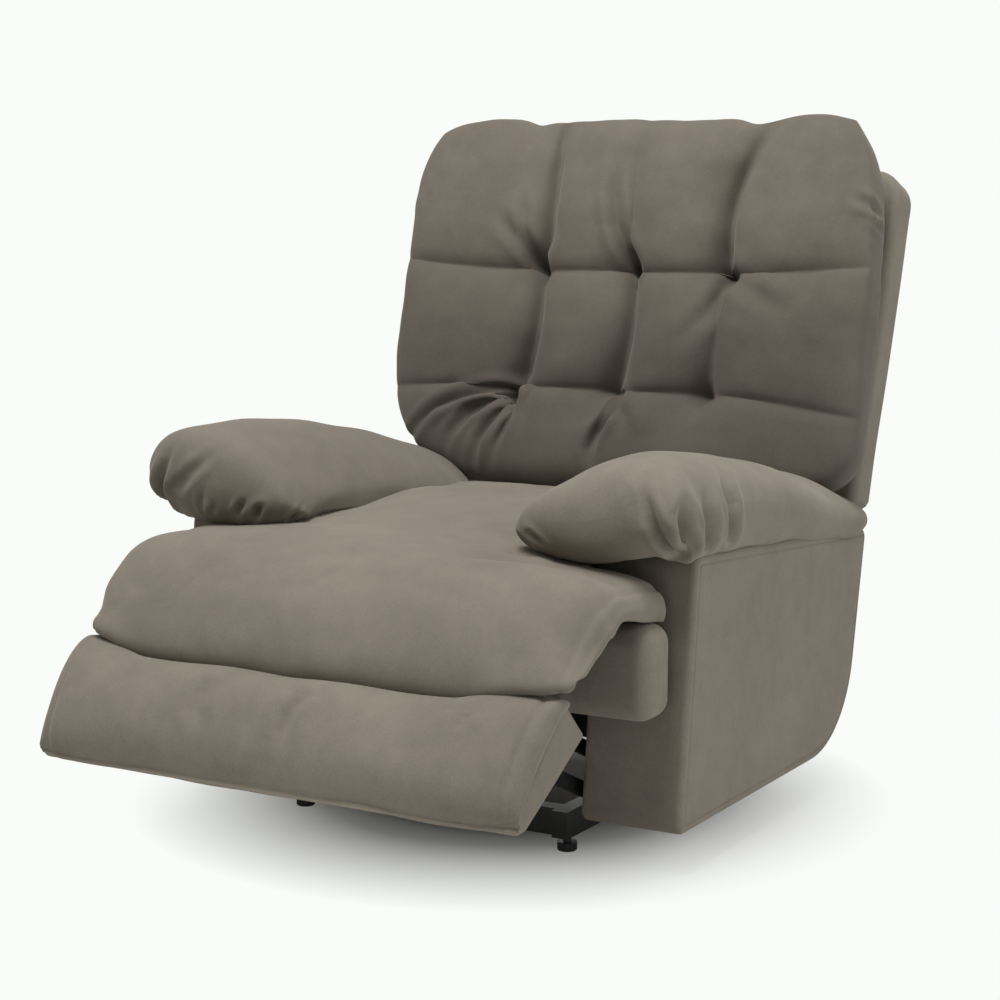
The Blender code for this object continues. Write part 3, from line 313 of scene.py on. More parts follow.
def moved(piece, points):
    """Puts the piece's points there, given in the chair's frame."""
    piece.data.vertices.foreach_set("co", (points + (0.0, CHAIR_Y, 0.0)).astype(np.float32).ravel())
    piece.data.update()


def outwards(piece):
    """The unit normal at each of the piece's points."""
    return listed(piece.data.vertex_normals, "vector").astype(float)


def refined(piece):
    """The piece with its mesh subdivided smoothly, once."""
    modifier = piece.modifiers.new("smooth", "SUBSURF")
    modifier.levels = modifier.render_levels = 1
    bpy.context.view_layer.update()
    mesh = bpy.data.meshes.new_from_object(piece.evaluated_get(bpy.context.evaluated_depsgraph_get()))
    piece.modifiers.clear()
    piece.data = mesh
    return piece


def lumps(points, size, seed):
    """A smooth uneven field between about -1 and 1: a sum of cosines along seeded ways."""
    chance = np.random.default_rng(seed)
    ways = chance.normal(size=(9, 3))
    ways *= (2 * np.pi / size) / np.linalg.norm(ways, axis=1, keepdims=True)
    return np.cos(points @ ways.T + chance.uniform(0, 2 * np.pi, 9)).sum(axis=1) / 3.5


def rumpled(piece, size, depth, seed):
    """Pushes the piece's surface in and out by the uneven field."""
    points = places(piece)
    moved(piece, points + outwards(piece) * (depth * lumps(points, size, seed))[:, None])


def upholstered(piece, fill, *nodes, cover=suede):
    """Finishes a covered piece: suede, smooth shading, and hides the frame nodes it stands for. fill is not
    used.
    """
    piece.data.materials.clear()
    piece.data.materials.append(cover)
    piece.data.shade_smooth()
    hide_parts(*nodes)
    return piece


def evenly(line, count, closing=False):
    """Evenly spaced points along a line of points; the last one is left out when the line closes."""
    run = np.concatenate([[0], np.cumsum(np.linalg.norm(np.diff(line, axis=0), axis=1))])
    even = np.linspace(0, run[-1], count, endpoint=not closing)
    return np.stack([np.interp(even, run, line[:, i]) for i in (0, 1)], axis=-1)


def eased_outline(corners, rounds, count):
    """Evenly spaced points round a polygon whose corners are arcs, with the unit normals outwards."""
    corners = np.array(corners)
    line = []
    neighbours = np.roll(corners, 1, 0), np.roll(corners, -1, 0)
    for corner, before, after, radius in zip(corners, *neighbours, rounds):
        back = (before - corner) / np.linalg.norm(before - corner)
        ahead = (after - corner) / np.linalg.norm(after - corner)
        half = math.acos(float(np.clip(back @ ahead, -1, 1))) / 2
        middle = corner + (back + ahead) / np.linalg.norm(back + ahead) * radius / math.sin(half)
        first = corner + back * radius / math.tan(half) - middle
        last = corner + ahead * radius / math.tan(half) - middle
        turn = math.atan2(first[0] * last[1] - first[1] * last[0], float(first @ last))
        angles = math.atan2(first[1], first[0]) + turn * np.linspace(0, 1, 13)
        line.append(middle + radius * np.stack([np.cos(angles), np.sin(angles)], axis=-1))
    points = evenly(np.vstack([*line, line[0][:1]]), count, closing=True)
    along = np.roll(points, -1, 0) - np.roll(points, 1, 0)
    along /= np.linalg.norm(along, axis=1, keepdims=True)
    normals = np.stack([along[:, 1], -along[:, 0]], axis=-1)
    inside = ((points - points.mean(axis=0)) * normals).sum()
    return points, normals if inside > 0 else -normals


def carried(edge, normals, stations):
    """An outline at each station (place, share, inset): drawn in by the inset, and shrunk about its
    middle to the share. Gives the places and the outlines' points."""
    place, share, inset = (column[:, None, None] for column in np.array(stations).T)
    middle = edge.mean(axis=0)
    flat = middle + (edge - normals * inset - middle) * share
    return np.broadcast_to(place, flat.shape[:2] + (1,)), flat


def round_edge(place, radius, inward, count):
    """Stations of a round edge that starts at a place: on by the radius while the inset goes to nought."""
    turn = np.radians(np.linspace(0, 90, count))
    return [(place + radius * (1 - math.cos(a)), 1.0, inward * (1 - math.sin(a))) for a in turn]


def arm_box(name, sign):
    """The arm's side outline carried across it: a flat inner face, a round edge, the strip round the
    box, the other round edge, the sewn line and the outer face."""
    edge, normals = eased_outline(ARM_CORNERS, ARM_ROUNDS, 250)
    inner, outer = ARM_X
    stations = [(inner, share, ARM_EDGE) for share in np.linspace(0, 0.98, 16)]
    stations += round_edge(inner, ARM_EDGE, ARM_EDGE, 6)
    stations += [(inner + share * (outer - inner), 1.0, 0.0) for share in np.linspace(0.08, 0.92, 12)]
    stations += round_edge(outer, -ARM_EDGE, ARM_EDGE, 6)[::-1]
    stations += [(outer - sunk, 1.0, ARM_EDGE + step) for step, sunk in ARM_STITCH]
    stations += [(outer, share, ARM_EDGE + ARM_STITCH[-1][0]) for share in np.linspace(0.98, 0.0, 40)]
    x, flat = carried(edge, normals, stations)
    return wrapped(name, np.concatenate([sign * x, flat], axis=-1))


for hand, sign in (("left", 1), ("right", -1)):
    arm_cover = arm_box("arm_cover_" + hand, sign)
    points = places(arm_cover)
    points[:, 1] += np.clip((0.02 - points[:, 1]) / 0.02, 0, 1) * 0.0008 * lumps(points, 0.11, 3 + sign)
    moved(arm_cover, points)
    parts = ("outer_panel_", "inner_panel_", "front_board_", "rear_board_", "top_board_")
    upholstered(arm_cover, 1.0, *("arm_" + part + hand for part in parts))
    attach(arm_cover, "carriage")

# Front rail
# A wooden rail under the chaise front, wrapped in foam and suede, with round ends that stand out in
# front of the arms. It is notched from below where the footrest links pass.
RAIL_HALF = 0.415
RAIL_Y = (-0.063, 0.018)
RAIL_Z = (0.228, 0.3595)
RAIL_ROUNDS = (0.03, 0.028, 0.028, 0.03)
RAIL_END = 0.026  # round of its ends
RAIL_NOTCH = (0.2522, 0.2762, 0.2885)  # inner x, outer x and height


def rectangle(across, up):
    """The corners of a rectangle between two places across and two places up."""
    return [(across[i], up[j]) for i, j in ((0, 0), (1, 0), (1, 1), (0, 1))]


def mirrored(half):
    """Stations from end to end, given those from one end to the middle."""
    return [(-x, share, inset) for x, share, inset in half] + half[-2::-1]


edge, normals = eased_outline(rectangle(RAIL_Y, RAIL_Z), RAIL_ROUNDS, 132)
half = [(RAIL_HALF + 0.002 * (1 - share**2), share, RAIL_END) for share in (0.0, 0.3, 0.6, 0.85)]
half += round_edge(RAIL_HALF, -RAIL_END, RAIL_END, 12)
notch = [RAIL_NOTCH[1] + 0.0012, RAIL_NOTCH[1] + 0.0002, RAIL_NOTCH[0] - 0.0002, RAIL_NOTCH[0] - 0.0012]
inside = np.concatenate([np.linspace(0.38, 0.285, 10), notch, np.linspace(0.242, 0.0, 24)])
half += [(x, 1.0, 0.0) for x in inside]
x, flat = carried(edge, normals, mirrored(half))
swollen = 0.003 * np.clip(1 - (x[..., 0] / RAIL_HALF) ** 6, 0, 1)
flat = flat + normals * (swollen * (edge[:, 0] < -0.05))[..., None]
cut = (np.abs(x[..., 0]) > RAIL_NOTCH[0] - 0.0005) & (np.abs(x[..., 0]) < RAIL_NOTCH[1] + 0.0005)
flat[..., 1] = np.where(cut, np.maximum(flat[..., 1], RAIL_NOTCH[2]), flat[..., 1])
front_rail = wrapped("front_rail_cover", np.concatenate([x, flat], axis=-1))
upholstered(front_rail, 0.95, "front_rail")
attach(front_rail, "carriage")

# Seat, chaise front and knee
# One stuffed suede cover: the seat between the arms runs on without a seam into a wider chaise front,
# whose knee bends down over the footrest hinge and is sewn to the lower pad. The edge is a narrow strip.
HINGE = (-0.1365, 0.36)  # the footrest turns about this (y, z)
FOOTREST_DROP = math.radians(44.0)
SEAT_HALF = 0.2725
CHAISE_HALF = 0.398
CHAISE_REAR = 0.02
SEAT_ROWS = 128
STRIP = 0.019  # how deep the edge strip is at the ends
CLOTH_FRAMES = 16
FOLD_LIP = 0.45  # how high the lips beside a fold stand, as a share of its depth


def eased(low, high, value):
    """Nought below low, one above high and a smooth rise between."""
    t = np.clip((value - low) / (high - low), 0, 1)
    return t * t * (3 - 2 * t)


def bell(distance, width):
    """One at no distance, falling away on both sides within about a width."""
    return np.exp(-((distance / width) ** 2))


def rounded(distance, radius, most=0.985):
    """The fall of a round edge: nought where it begins, and nearly one a radius further on."""
    return 1 - np.sqrt(1 - np.clip(distance / radius, 0, most) ** 2)


def smooth_line(knots, count):
    """Evenly spaced points on a curve through the knots: cubic pieces whose slopes follow the chords."""
    knots = np.array(knots, float)
    run = np.concatenate([[0], np.cumsum(np.linalg.norm(np.diff(knots, axis=0), axis=1) ** 0.5)])
    slopes = np.gradient(knots, run, axis=0)
    fine = np.linspace(0, run[-1], 40 * len(knots))
    piece = np.clip(np.searchsorted(run, fine, side="right") - 1, 0, len(knots) - 2)
    width = (run[piece + 1] - run[piece])[:, None]
    t = (fine - run[piece])[:, None] / width
    line = (2 * t**3 - 3 * t**2 + 1) * knots[piece] + (t**3 - 2 * t**2 + t) * width * slopes[piece]
    line += (3 * t**2 - 2 * t**3) * knots[piece + 1] + (t**3 - t**2) * width * slopes[piece + 1]
    return evenly(line, count)


def on_footrest(along, out):
    """(y, z) of a place down the footrest board and square out from it, both from the hinge."""
    y = HINGE[0] - along * math.cos(FOOTREST_DROP) - out * math.sin(FOOTREST_DROP)
    z = HINGE[1] - along * math.sin(FOOTREST_DROP) + out * math.cos(FOOTREST_DROP)
    return np.stack([y, z], axis=-1)


def boxed(name, top, under, kept, layers, bulge):
    """A closed piece between two grids of points: the kept cells of each, and a wall of layers between
    them along every edge that only one kept cell has. The wall stands out by bulge halfway down."""
    count = top.shape[0] * top.shape[1]
    quads = cells(np.arange(count).reshape(top.shape[:2]))[kept.reshape(-1)]
    edges = np.vstack([quads[:, [i, (i + 1) % 4]] for i in range(4)])
    open_edges = edges[~np.isin(edges[:, 0] * count + edges[:, 1], edges[:, 1] * count + edges[:, 0])]
    a, b = open_edges.T
    upper, drop = top.reshape(-1, 3), (under - top).reshape(-1, 3)
    away = np.zeros_like(upper)
    for end in (a, b):
        np.add.at(away, end, np.cross(upper[b] - upper[a], drop[a] + drop[b]))
    away /= np.maximum(np.linalg.norm(away, axis=1, keepdims=True), 1e-12)
    away *= np.sign(((upper - upper[a].mean(axis=0)) * away).sum()) * bulge
    shares = np.linspace(0, 1, layers + 1)
    points = np.concatenate([upper + drop * share + away * math.sin(math.pi * share) for share in shares])
    walls = [
        np.stack([a + j * count, a + (j + 1) * count, b + (j + 1) * count, b + j * count], axis=-1)
        for j in range(layers)
    ]
    fixed = np.repeat([0.0] + [1.0] * layers, count)
    fixed[open_edges.ravel()] = 1.0
    return sewn(name, points, np.vstack([quads, quads[:, ::-1] + layers * count, *walls]), fixed)


def stuffed(piece, held, pressure, cap, stiff):
    """Presses the cover out from inside as cloth. held gives each point's pin weight from its place.
    What the cloth moves is evened out between neighbours, and no point gets further than cap."""
    start = places(piece)
    weights = held(start)
    if "fixed" in piece.data.attributes:
        fixed = listed(piece.data.attributes["fixed"].data, "value", 1)
        weights = np.maximum(weights, np.round(fixed[:, 0]))
        piece.data.attributes.remove(piece.data.attributes["fixed"])
    group = piece.vertex_groups.new(name="held")
    group.add(np.flatnonzero(weights > 0.5).tolist(), 1.0, "REPLACE")
    cloth = piece.modifiers.new("stuffing", "CLOTH")
    settings = {
        "quality": 5, "mass": 0.35, "tension_stiffness": 22, "compression_stiffness": 6,
        "shear_stiffness": 6, "bending_stiffness": stiff, "air_damping": 3, "use_pressure": True,
        "uniform_pressure_force": pressure, "vertex_group_mass": "held",
    }
    for name, value in settings.items():
        setattr(cloth.settings, name, value)
    cloth.settings.effector_weights.gravity = 0
    cloth.collision_settings.use_collision = False
    cloth.point_cache.frame_start, cloth.point_cache.frame_end = 1, CLOTH_FRAMES
    for step in range(1, CLOTH_FRAMES + 1):
        scene.frame_set(step)
    pressed = piece.evaluated_get(bpy.context.evaluated_depsgraph_get()).data
    found = listed(pressed.vertices, "co")
    piece.modifiers.clear()
    piece.vertex_groups.clear()
    scene.frame_set(1)
    shift = found - (0.0, CHAIR_Y, 0.0) - start
    ends = listed(piece.data.edges, "vertices", 2, np.int32)
    a, b = ends.T
    degree = np.bincount(ends.ravel(), minlength=len(start))[:, None]
    for _ in range(8):
        total = np.zeros_like(shift)
        np.add.at(total, a, shift[b])
        np.add.at(total, b, shift[a])
        shift = np.where(weights[:, None] > 0.5, shift, 0.5 * shift + 0.5 * total / degree)
    far = np.linalg.norm(shift, axis=1, keepdims=True)
    moved(piece, start + shift * (cap * np.tanh(far / cap) / np.maximum(far, 1e-9)))
    return piece


def folded(piece, folds, start, seen=None):
    """Sinks folds, each a path, a width and a depth in millimetres: a bell of the distance to the path,
    with a raised lip on both sides, from its full or part depth at the start to nothing at its end.
    seen turns points into the places that the paths are given in."""
    for path, width, depth in folds:
        path, width, depth = np.array(path) / 1000, width / 1000, depth / 1000
        whole = places(piece)
        points = seen(whole) if seen else whole
        nearest, share = np.full(len(points), np.inf), np.zeros(len(points))
        lengths = np.linalg.norm(np.diff(path, axis=0), axis=1)
        done = np.concatenate([[0], np.cumsum(lengths)]) / lengths.sum()
        for i, way in enumerate(np.diff(path, axis=0)):
            t = np.clip((points - path[i]) @ way / (way @ way), 0, 1)
            far = np.linalg.norm(points - path[i] - t[:, None] * way, axis=1)
            share = np.where(far < nearest, done[i] + t * (done[i + 1] - done[i]), share)
            nearest = np.minimum(nearest, far)
        fade = eased(0, 0.35, share + start) * eased(0, 0.6, 1 - share)
        sunk = bell(nearest, width) - FOLD_LIP * bell(nearest - 2.0 * width, width)
        moved(piece, whole - outwards(piece) * (depth * fade * sunk)[:, None])


def both_ways(*runs):
    """Places from the middle outwards, joined and mirrored so that they go from end to end."""
    half = np.concatenate(runs)
    return np.concatenate([-half[:0:-1], half])


def drawn_up(x):
    """How far the seam between knee and pad is drawn up towards its ends: more on the right."""
    return np.where(x < 0, 0.028 * eased(0.26, 0.37, -x), 0.023 * eased(0.24, 0.34, x))


over_seat = [(0.574, 0.416), (0.566, 0.437), (0.5, 0.448), (0.4, 0.4525), (0.3, 0.4545)]
over_seat += [(0.1, 0.4475), (0.0, 0.443), (-0.08, 0.4405)]
over_knee = [(-0.05, 0.0655), (-0.02, 0.0815), (0.01, 0.0865), (0.04, 0.0875), (0.07, 0.0855)]
over_knee += [(0.1, 0.08), (0.126, 0.0725), (0.142, 0.062), (0.149, 0.05)]
top_line = smooth_line(over_seat + [on_footrest(*place) for place in over_knee], SEAT_ROWS)
under_seat = [(0.574, 0.365), (0.555, 0.342), (0.3, 0.3415), (0.1, 0.3415), (0.042, 0.346)]
under_seat += [(0.02, 0.3612), (-0.05, 0.3612), (-0.1, 0.358)]
under_knee = [(0.03, -0.012), (0.075, -0.006), (0.105, 0.006), (0.118, 0.03), (0.144, 0.0325)]
under_line = smooth_line(under_seat + [on_footrest(*place) for place in under_knee], SEAT_ROWS)
by_arm = (0.265, 0.27, SEAT_HALF, 0.278)
by_end = (0.3875, 0.3915, 0.3945, 0.3965, CHAISE_HALF)
across = both_ways(np.linspace(0, 0.258, 33), by_arm, np.linspace(0.286, 0.382, 15), by_end)
x = np.repeat(across[:, None], SEAT_ROWS, axis=1)
way = np.gradient(top_line, axis=0)
way /= np.linalg.norm(way, axis=1, keepdims=True)
square = np.stack([way[:, 1], -way[:, 0]], axis=-1)
y0 = top_line[:, 0]
gone = np.linspace(0, 1, SEAT_ROWS)
on_chaise = eased(0.1, 0.0, y0)
on_knee = eased(-0.06, -0.2, y0)
near_seam = eased(0.9, 1.0, gone)
crown = 0.009 * (1 - (x / SEAT_HALF).clip(-1, 1) ** 2) * (1 - on_chaise)
crown = crown + 0.004 * on_chaise * (1 - (x / CHAISE_HALF) ** 2)
side_drop = 0.024 * rounded(np.abs(x) - 0.216, 0.0575) * (1 - eased(0.09, 0.02, y0))
right_drop = 0.043 + 0.006 * on_knee
left_drop = 0.045 + 0.027 * eased(-0.1, -0.145, y0) - 0.014 * eased(-0.21, -0.26, y0)
end_drop = np.where(x < 0, right_drop, left_drop) * (1 - np.where(x < 0, 0.6, 0.7) * near_seam)
end_round = rounded(np.abs(x) - 0.318, 0.081)
stitch = 0.0056 * bell(np.abs(x) - 0.3875, 0.003)
ear = eased(0.262, 0.3, np.abs(x)) * rounded(y0 + 0.045, 0.075, 0.96) * 0.03
pressed = 0.016 * bell(x - 0.33, 0.1) * bell(y0 + 0.03, 0.1)
lift = crown - pressed - side_drop - (end_drop * end_round + stitch) * on_chaise - ear
slide = -drawn_up(x) * eased(0.84, 1.0, gone)
flat_top = top_line + square * lift[..., None] + way * slide[..., None]
narrowed = np.where(x < 0, 0.088, -0.026) * eased(0.88, 1.0, gone)
x = x * (1 - narrowed * np.abs(x / CHAISE_HALF) ** 4)
top = np.concatenate([x[..., None], flat_top], axis=-1)
thin = eased(0.31, 0.392, np.abs(x)) * on_chaise
flat_under = under_line + way * slide[..., None]
strip = STRIP + np.where(x > 0, 0.013, 0.0) * eased(-0.1, -0.01, y0)
flat_under = flat_under + (flat_top - square * strip[..., None] - flat_under) * thin[..., None]
gap = ((flat_top - flat_under) * square).sum(axis=-1)
flat_under -= square * np.maximum(0.0, strip - gap)[..., None] * (1 - near_seam)[:, None]
under = np.concatenate([x[..., None], flat_under], axis=-1)
middle_x = np.abs(x[1:, :-1] + x[:-1, :-1]) / 2
kept = (middle_x < SEAT_HALF) | (y0[:-1] < CHAISE_REAR)
seat_cover = boxed("seat_cover", top, under, kept, 6, 0.004)


def seat_held(points):
    """Pinned at the rear, where the cover is sewn down under the back."""
    return np.where(points[:, 1] > 0.56, 1.0, 0.0)


stuffed(seat_cover, seat_held, 2.0, 0.008, 6.0)
refined(seat_cover)
rumpled(seat_cover, 0.21, 0.0022, 5)
rumpled(seat_cover, 0.07, 0.0006, 6)
SEAT_FOLDS = (
    ([(211, -50, 444), (149, -26, 448), (85, -23, 450), (21, -61, 449)], 16, 5),
    ([(238, -90, 438), (173, -110, 438), (100, -125, 440)], 16, 4.5),
    ([(-220, 0, 444), (-140, 10, 448), (-60, 5, 449)], 12, 2.6),
)
folded(seat_cover, SEAT_FOLDS, 0.3)
# Painted shade: the seat's suede colour is darkened to 0.93 all over, standing in for less light on the
# seat.
shaded_seat_suede = suede_finish("shaded_seat_suede", ((0.0, 0.93), (2.0, 0.93)))
upholstered(seat_cover, 0.8, "seat_cushion", "chaise_front", "knee_pad", cover=shaded_seat_suede)
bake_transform(seat_cover)

# Footrest board
# A thick wedge-shaped board wrapped in suede, seen below and beside the pad. It is bolted to the two
# footrest brackets.
BOARD_HALF = 0.387
BOARD_CORNERS = ((0.1165, 0.03), (0.1165, -0.0535), (0.29, -0.012), (0.3045, 0.0), (0.3045, 0.024))
BOARD_ROUNDS = (0.006, 0.007, 0.01, 0.006, 0.006)
BOARD_END = (0.01, 0.0058)  # round of its ends: along the board and inwards

edge, normals = eased_outline(BOARD_CORNERS, BOARD_ROUNDS, 120)
half = [(BOARD_HALF, share, BOARD_END[1]) for share in (0.0, 0.3, 0.6, 0.85)]
half += round_edge(BOARD_HALF, -BOARD_END[0], BOARD_END[1], 6)
half += [(x, 1.0, 0.0) for x in np.linspace(0.366, 0.0, 30)]
x, flat = carried(edge, normals, mirrored(half))
flat = on_footrest(flat[..., 0], flat[..., 1])
footrest_board = wrapped("footrest_board_cover", np.concatenate([x, flat], axis=-1))
rumpled(footrest_board, 0.14, 0.0006, 21)
upholstered(footrest_board, 1.0, "footrest_board")
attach(footrest_board, "footrest")

# Footrest pad
# A stuffed pad on the board, sewn to the knee along its upper edge, with a strip round its ends and a
# soft crease down the middle where the stuffing parts.
PAD_HALF = 0.39
PAD_LOW = 0.0262  # its underside, out from the board
PAD_ROWS = 56

section = [(0.149, 0.048), (0.153, 0.059), (0.163, 0.0675), (0.18, 0.073), (0.203, 0.075)]
section += [(0.23, 0.0738), (0.258, 0.0695), (0.283, 0.0622), (0.3, 0.05), (0.309, 0.036)]
section = smooth_line(section + [(0.3115, 0.0275)], PAD_ROWS)
by_end = (0.348, 0.356, 0.362, 0.368, 0.3732, 0.3775, 0.3813, 0.3843, 0.3863, 0.3883, PAD_HALF)
across = both_ways(np.linspace(0, 0.34, 43), by_end)
x, t = np.meshgrid(across, np.linspace(0, 1, PAD_ROWS), indexing="ij")
along = section[:, 0] - (drawn_up(x) * (1 - t) ** 2 + 0.01 * eased(0.34, 0.4, np.abs(x)) * t**3)
swelling = 0.96 + 0.04 * (1 - (x / PAD_HALF) ** 2)
dip = 1 - 0.055 * bell(x + 0.008 + 0.03 * t, 0.013) * np.sin(np.pi * t.clip(0.05, 0.95))
end_fall = (0.18 + 0.26 * t**2) * np.where(x > 0, eased(-0.1, 0.3, t), 1.0)
end_fall = end_fall * rounded(np.abs(x) - 0.345, 0.048)
out = section[:, 1] * (swelling * dip - end_fall)
out -= 0.0058 * bell(np.abs(x) - 0.3732, 0.0036) * np.sin(np.pi * t.clip(0.02, 0.98)) ** 0.3
x = x * (1 - (0.02 + 0.016 * t) * eased(-0.1, -0.39, x) + 0.016 * (1 - t) ** 3 * eased(0.3, 0.39, x))
top = np.concatenate([x[..., None], on_footrest(along, out)], axis=-1)
low = np.minimum(PAD_LOW, out - 0.002)
low = low + (np.maximum(low, out - 0.028) - low) * eased(0.36, 0.388, np.abs(x))
under = np.concatenate([x[..., None], on_footrest(along, low)], axis=-1)
kept = np.ones((len(across) - 1, PAD_ROWS - 1), bool)
footrest_pad = boxed("footrest_pad_cover", top, under, kept, 6, 0.006)
stuffed(footrest_pad, lambda points: np.zeros(len(points)), 2.0, 0.006, 6.0)
refined(footrest_pad)
rumpled(footrest_pad, 0.16, 0.0018, 8)


def pad_face(points):
    """Flat places on the pad's face: across it and down it. The underside counts as far away."""
    x, y, z = points.T
    back, down = HINGE[0] - y, HINGE[1] - z
    along = back * math.cos(FOOTREST_DROP) + down * math.sin(FOOTREST_DROP)
    out = back * math.sin(FOOTREST_DROP) - down * math.cos(FOOTREST_DROP)
    return np.stack([x + np.where(out < 0.045, 9.0, 0.0), along], axis=-1)


PAD_FOLDS = (
    ([(39, 191), (35, 226), (40, 260), (49, 286)], 11, 8.5),
    ([(-119, 199), (-114, 234), (-84, 270)], 12, 6),
    ([(285, 180), (285, 215)], 12, 4.5),
)
folded(footrest_pad, PAD_FOLDS, 0.2, pad_face)
upholstered(footrest_pad, 0.85, "footrest_pad")
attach(footrest_pad, "footrest")

# Arm pillows
# Long stuffed pillows sewn on the arms: a fat nose hangs over the front, the seat side bulges over the
# seat, and the cover is gathered in pleats at the front corners.
PILLOW_X = (0.183, 0.4505)
PILLOW_FRONT = (-0.0555, -0.062)  # y of the nose at the seat side and at the outer side
PILLOW_REAR = 0.688
PILLOW_CREST = 0.58
PILLOW_FALL = 0.129  # how much lower the crest is at the rear
TIP_RING = 7  # the rings up to this one make the dome of the nose
ARM_SLOPE = 0.0701  # fall of the arm's top line towards the rear


def arm_top_at(y):
    """Height of the arm's top line."""
    front, height = ARM_CORNERS[1]
    return height - ARM_SLOPE * (np.maximum(y, front) - front)


def pillow_rings(rings=140, sides=120):
    """Sections along the arm, each of four quarters of a superellipse about its own crest line. The nose is
    blunt and cut away below on the outer side, with a round dome for its tip; the seat side slopes down
    onto the seat; the underside lies on the arm's top line."""
    turn = np.radians(np.linspace(-90, 90, rings))[:, None]
    along = (1 + np.sin(turn)) / 2
    angle = 2 * np.pi * np.arange(sides)[None] / sides
    angle = angle - 0.125 * np.sin(4 * angle)
    side, rise = np.cos(angle), np.sin(angle)
    tip = np.clip(6 * (1 + np.sin(turn)), 0, 1) ** 0.5
    outer_share = 0.5 + 0.5 * side * tip
    front = PILLOW_FRONT[0] + (PILLOW_FRONT[1] - PILLOW_FRONT[0]) * outer_share
    y = front + (PILLOW_REAR - front) * along
    away = np.abs(2 * along - 1)
    blunt = 16.0 + 2.0 * outer_share
    plump = np.clip(1 - away ** np.where(along < 0.5, blunt, 16.0), 0, 1) ** 0.5
    sat = np.clip(1 - away ** np.where(along < 0.5, blunt + 14.0 * (1 - outer_share), 40.0), 0, 1) ** 0.5
    crest = PILLOW_CREST - PILLOW_FALL * np.clip((along - 0.2) / 0.8, 0, 1) ** 1.5
    arm_top = arm_top_at(y) + 0.0004
    under = arm_top + (0.405 - arm_top) * eased(0.02, -0.03, y) + 0.088 * outer_share * eased(0.03, -0.05, y)
    under = under - 0.024 * np.clip(2 * outer_share - 1, 0, 1) * eased(-0.03, 0.03, y) * eased(0.7, 0.6, y)
    inner = PILLOW_X[0] + np.clip((y - 0.42) / 0.22, 0, 1) * (0.268 - PILLOW_X[0])
    ridge = 0.356 - 0.034 * eased(0.0, 0.4, along)
    power = 1 + (np.where(side > 0, 0.844 - 0.294 * eased(0.0, 0.7, -rise), 1.25) - 1) * tip
    middle = 0.505 + (0.0747 * eased(-0.4, 0.4, side) - 0.045) * tip - ARM_SLOPE * np.clip(y - 0.05, 0, 1)
    middle = np.minimum(middle, under + (0.6 - 0.25 * eased(0.5, 0.9, along)) * (crest - under))
    reach = np.where(side > 0, PILLOW_X[1] - ridge, ridge - inner) * (1 - (1 - plump) ** 1.6)
    x = ridge + reach * np.sign(side) * np.abs(side) ** power
    height = np.where(rise > 0, plump * (crest - middle), sat * (middle - under))
    z = middle + height * np.sign(rise) * np.abs(rise) ** power
    inside = np.clip((0.29 - x) / 0.024, 0, 1) * eased(-0.06, 0.03, y)
    lifted = under + inside * (np.minimum(0.447, middle - 0.001) - under)
    z = np.where(rise > -1e-6, z, np.maximum(z, lifted))
    found = np.stack(np.broadcast_arrays(x, y, z), axis=-1)
    rim = found[TIP_RING]
    pole = rim.mean(axis=0) * (1, 0, 1) + (0, found[0, :, 1].mean(), 0)
    share = (plump[: TIP_RING + 1, :1] / plump[TIP_RING, :1])[..., None]
    found[: TIP_RING + 1] = pole + (rim - pole) * np.concatenate([share, share**2, share], axis=-1)
    found[-1] = found[-1].mean(axis=0)
    return found


def pillow_held(points):
    """Pinned where it is sewn down on the arm."""
    x, y, z = points.T
    return np.where((z < arm_top_at(y) + 0.01) & (np.abs(x) > 0.27) & (y > 0.0) | (y > 0.64), 1.0, 0.0)


OUTER_PLEATS = (
    ([(372, 452), (348, 478), (333, 505), (320, 540), (318, 575)], 7, 14),
    ([(384, 455), (373.5, 490), (370, 520), (377, 548)], 7, 12),
    ([(412, 456), (412.7, 495), (407.7, 525), (405, 550)], 6, 11.5),
    ([(449, 460), (448.7, 510), (438.9, 545), (431, 572)], 6.5, 12),
)
LEFT_PLEATS = (
    ([(250, -50, 452), (225, -40, 475), (207, -20, 496)], 4.5, 6),
    ([(220, -36, 450), (204, -28, 469), (192, -6, 486)], 4.5, 6),
    ([(397, -56, 505), (388, -61, 534), (370, -50, 558)], 8, 3),
)
RIGHT_PLEATS = (
    ([(-384, -55, 495), (-354, -55, 522), (-327, -42, 542), (-290, -14, 558)], 8.5, 5.5),
    ([(-342, -56, 455), (-337, -57, 481), (-328, -55, 503)], 6, 4),
    ([(-275, -50, 444), (-271, -53, 469), (-250, -44, 500)], 5, 8.5),
    ([(-248, -47, 448), (-237, -45, 474), (-218, -26, 502)], 5, 8.5),
    ([(-202, -22, 450), (-194, -14, 470), (-192, 4, 484)], 4.5, 6),
    ([(-316, -53, 443), (-318, -55, 462), (-309, -55, 485)], 5, 4.5),
)
# Painted shade: the right pillow's suede colour is darkened to 0.81 all over, standing in for it getting
# less light than the left one.
shaded_right_suede = suede_finish("shaded_right_pillow_suede", ((0.0, 0.81), (2.0, 0.81)))


def outer_front(points):
    """Flat places on the pillow's outer front corner: across it and up. The rest counts as far away."""
    x, y, z = np.abs(points[:, 0]), points[:, 1], points[:, 2]
    return np.stack([0.862 * x + 0.507 * y + np.where(0.507 * x - 0.862 * y < 0.06, 9.0, 0.0), z], axis=-1)


